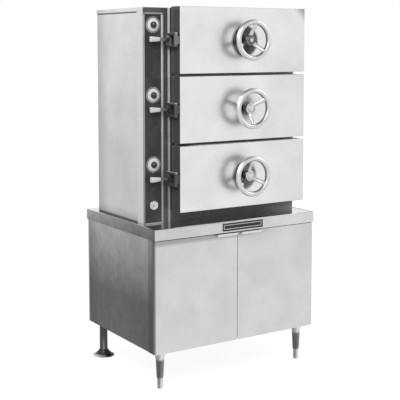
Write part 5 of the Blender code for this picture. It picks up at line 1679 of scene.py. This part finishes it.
def front_foot_profile(radius, height):
    return [
        (0, 0),
        (radius - 0.0025, 0),
        (radius - 0.0014, 0.0008),
        (radius - 0.0005, 0.0046),
        (radius, 0.0090),
        (radius, height - 0.0022),
        (radius - 0.0006, height - 0.0008),
        (STUD_RADIUS, height),
        (STUD_RADIUS, height + STUD_HEIGHT),
        (0, height + STUD_HEIGHT),
    ]


def rear_foot_profile(radius, height):
    profile = [(0, 0), (radius - 0.0040, 0), (radius - 0.0004, 0.0014), (radius, 0.0022)]
    for step in range(9):
        share = step / 8
        rise = FLANGE_RIM + (height - FLANGE_RIM) * share**1.5
        profile.append((radius - (radius - FLANGE_STEM) * share, rise))
    top = height + STUD_HEIGHT + 0.0005
    return [*profile, (STUD_RADIUS, height), (STUD_RADIUS, top), (0, top)]


print("leg profile points:", len(front_leg_profile(0.1)))

# %% [markdown]
# The four legs share one loop: each takes its place and height from its node's box,
# and its foot fills the space below it down to the floor.

# %% Build the legs and feet
BULLET_RADIUS = 0.0129

for side in ("left", "right"):
    for end, leg_name, foot_name, leg_profile, steel, foot_steel, foot_slot in (
        ("front", "front_leg", "bullet_foot", front_leg_profile, FRONT_LEG_STEEL, FOOT_CHROME,
         "chrome"),
        ("rear", "rear_leg", "flanged_foot", rear_leg_profile, REAR_LEG_STEEL, REAR_LEG_STEEL,
         "leg_steel"),
    ):
        leg_low, leg_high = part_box(f"leg_{end}_{side}")
        spot = middle_of(f"leg_{end}_{side}")
        base = Vector((spot.x, spot.y, leg_low.z))
        profile = leg_profile(leg_high.z - leg_low.z)
        leg = turned_piece(f"{leg_name}_{side}", profile, base, UP, steel)
        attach(leg, "steamer_body")
        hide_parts(f"leg_{end}_{side}")
        foot_height = leg_low.z - FOOT_GAP
        foot_low, foot_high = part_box(f"foot_{end}_{side}")
        if end == "front":
            profile, steps = front_foot_profile(BULLET_RADIUS, foot_height), TURN_STEPS
        else:
            profile, steps = rear_foot_profile((foot_high.x - foot_low.x) / 2, foot_height), 96
        under = (spot.x, spot.y, 0)
        foot = turned_piece(f"{foot_name}_{side}", profile, under, UP, foot_steel, steps)
        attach(foot, "steamer_body")
        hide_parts(f"foot_{end}_{side}")
print("legs and feet: 8")

# %% [markdown]
# ## Floor
#
# The floor is a plain pale disc. It glows for the camera and for reflections, as a brightly
# lit paper floor does, and its own paint still takes the machine's soft shadow.

# %% Floor
FLOOR_RADIUS = 60
FLOOR_GLOW = 0.91


def seen_mask(tree):
    """1 for rays from the camera, a reflection or a pane, and 0 for the room's light."""
    rays = tree.nodes.new("ShaderNodeLightPath").outputs
    seen = rays["Is Camera Ray"]
    for label in ("Is Glossy Ray", "Is Transmission Ray"):
        seen = add_node(tree, "ShaderNodeMath", seen, rays[label], operation="MAXIMUM")
    return seen


def floor_finish():
    finish = Finish("paper_floor", 0.9)
    tone = finish.group(MOTTLE, Patch_Density=3, Speck_Density=80)
    finish.colour = finish.mixed(tone, grey(0.15), grey(0.17))
    glow = finish.times(seen_mask(finish.tree), FLOOR_GLOW)
    finish.feed(Emission_Color=grey(1), Emission_Strength=glow)
    return finish.done()


floor_rings = [(0, 0), (2, 0), (8, 0), (FLOOR_RADIUS, 0)]
floor = turned_piece("floor", floor_rings, (0, 0, 0), UP, floor_finish(), 96)
print("floor radius", FLOOR_RADIUS)

# %% [markdown]
# ## Backdrop
#
# The picture was made in front of plain white paper. The world is white where the camera or a
# reflection looks at it, and softer as a light source.
# Above the machine the studio is darker, which gives the chromed wheels their dark accents.

# %% World
WORLD_LIGHT = 0.55
WHITE = grey(1.0)
CEILING = grey(0.30)
CEILING_HEIGHTS = (0.45, 0.95)


def make_world():
    world = bpy.data.worlds.new("studio")
    bpy.context.scene.world = world
    world.use_nodes = True
    tree = world.node_tree
    tree.nodes.clear()
    places = tree.nodes.new("ShaderNodeTexCoord").outputs["Generated"]
    split = tree.nodes.new("ShaderNodeSeparateXYZ")
    feed(tree, places, split.inputs["Vector"])
    height = add_node(tree, "ShaderNodeMapRange", split.outputs["Z"], *CEILING_HEIGHTS)
    paper = add_node(tree, "ShaderNodeMix", height, WHITE, CEILING, data_type="RGBA")
    seen_paper = add_node(tree, "ShaderNodeBackground", paper)
    room_light = add_node(tree, "ShaderNodeBackground", WHITE, WORLD_LIGHT)
    blend = add_node(tree, "ShaderNodeMixShader", seen_mask(tree), room_light, seen_paper)
    target = tree.nodes.new("ShaderNodeOutputWorld")
    feed(tree, blend, target.inputs["Surface"])


make_world()
print("world light", WORLD_LIGHT)


# %% [markdown]
# ## Lamps
#
# Two large soft lamps light the scene from the front, a strong one at the left and a weaker one
# at the right that opens up the shadows.

# %% Lamps
LAMP_AIM = Vector((0, 0, 0.9))
LAMP_SIZE = 3.0


def add_lamp(name, place, power):
    light = bpy.data.lights.new(name, "AREA")
    light.shape = "SQUARE"
    light.size = LAMP_SIZE
    light.energy = power
    lamp = bpy.data.objects.new(name, light)
    lamp.location = place
    lamp.rotation_euler = (LAMP_AIM - Vector(place)).to_track_quat("-Z", "Y").to_euler()
    bpy.context.scene.collection.objects.link(lamp)


add_lamp("key_softbox", (-3.2, -3.6, 4.2), 190)
add_lamp("fill_softbox", (4.5, -2.0, 3.6), 60)
print("lamps: 2")

# %% [markdown]
# ## Camera
#
# The camera stands to the left of the machine, a little above its middle, and looks slightly
# down. It was placed by fitting the corners of the cabinet, the body and the doors to the
# picture. A raised lens keeps the upright edges nearly parallel, as a view camera does.

# %% Camera
CAMERA_PLACE = (-2.5788, -3.9955, 1.5741)
CAMERA_TURN = math.radians(-32.715)
CAMERA_TILT = math.radians(5)
camera_data = bpy.data.cameras.new("view_camera")
camera_data.lens = 86.55
camera_data.sensor_width = 36
camera_data.shift_x = 0.0021
camera_data.shift_y = -0.1757
camera_data.clip_end = 200
camera = bpy.data.objects.new("view_camera", camera_data)
camera.location = CAMERA_PLACE
camera.rotation_euler = (QUARTER_TURN - CAMERA_TILT, 0, CAMERA_TURN)
bpy.context.scene.collection.objects.link(camera)
bpy.context.scene.camera = camera
bpy.context.scene.view_settings.view_transform = "Standard"
print("camera lens", camera_data.lens)

# %% [markdown]

# %% [markdown]
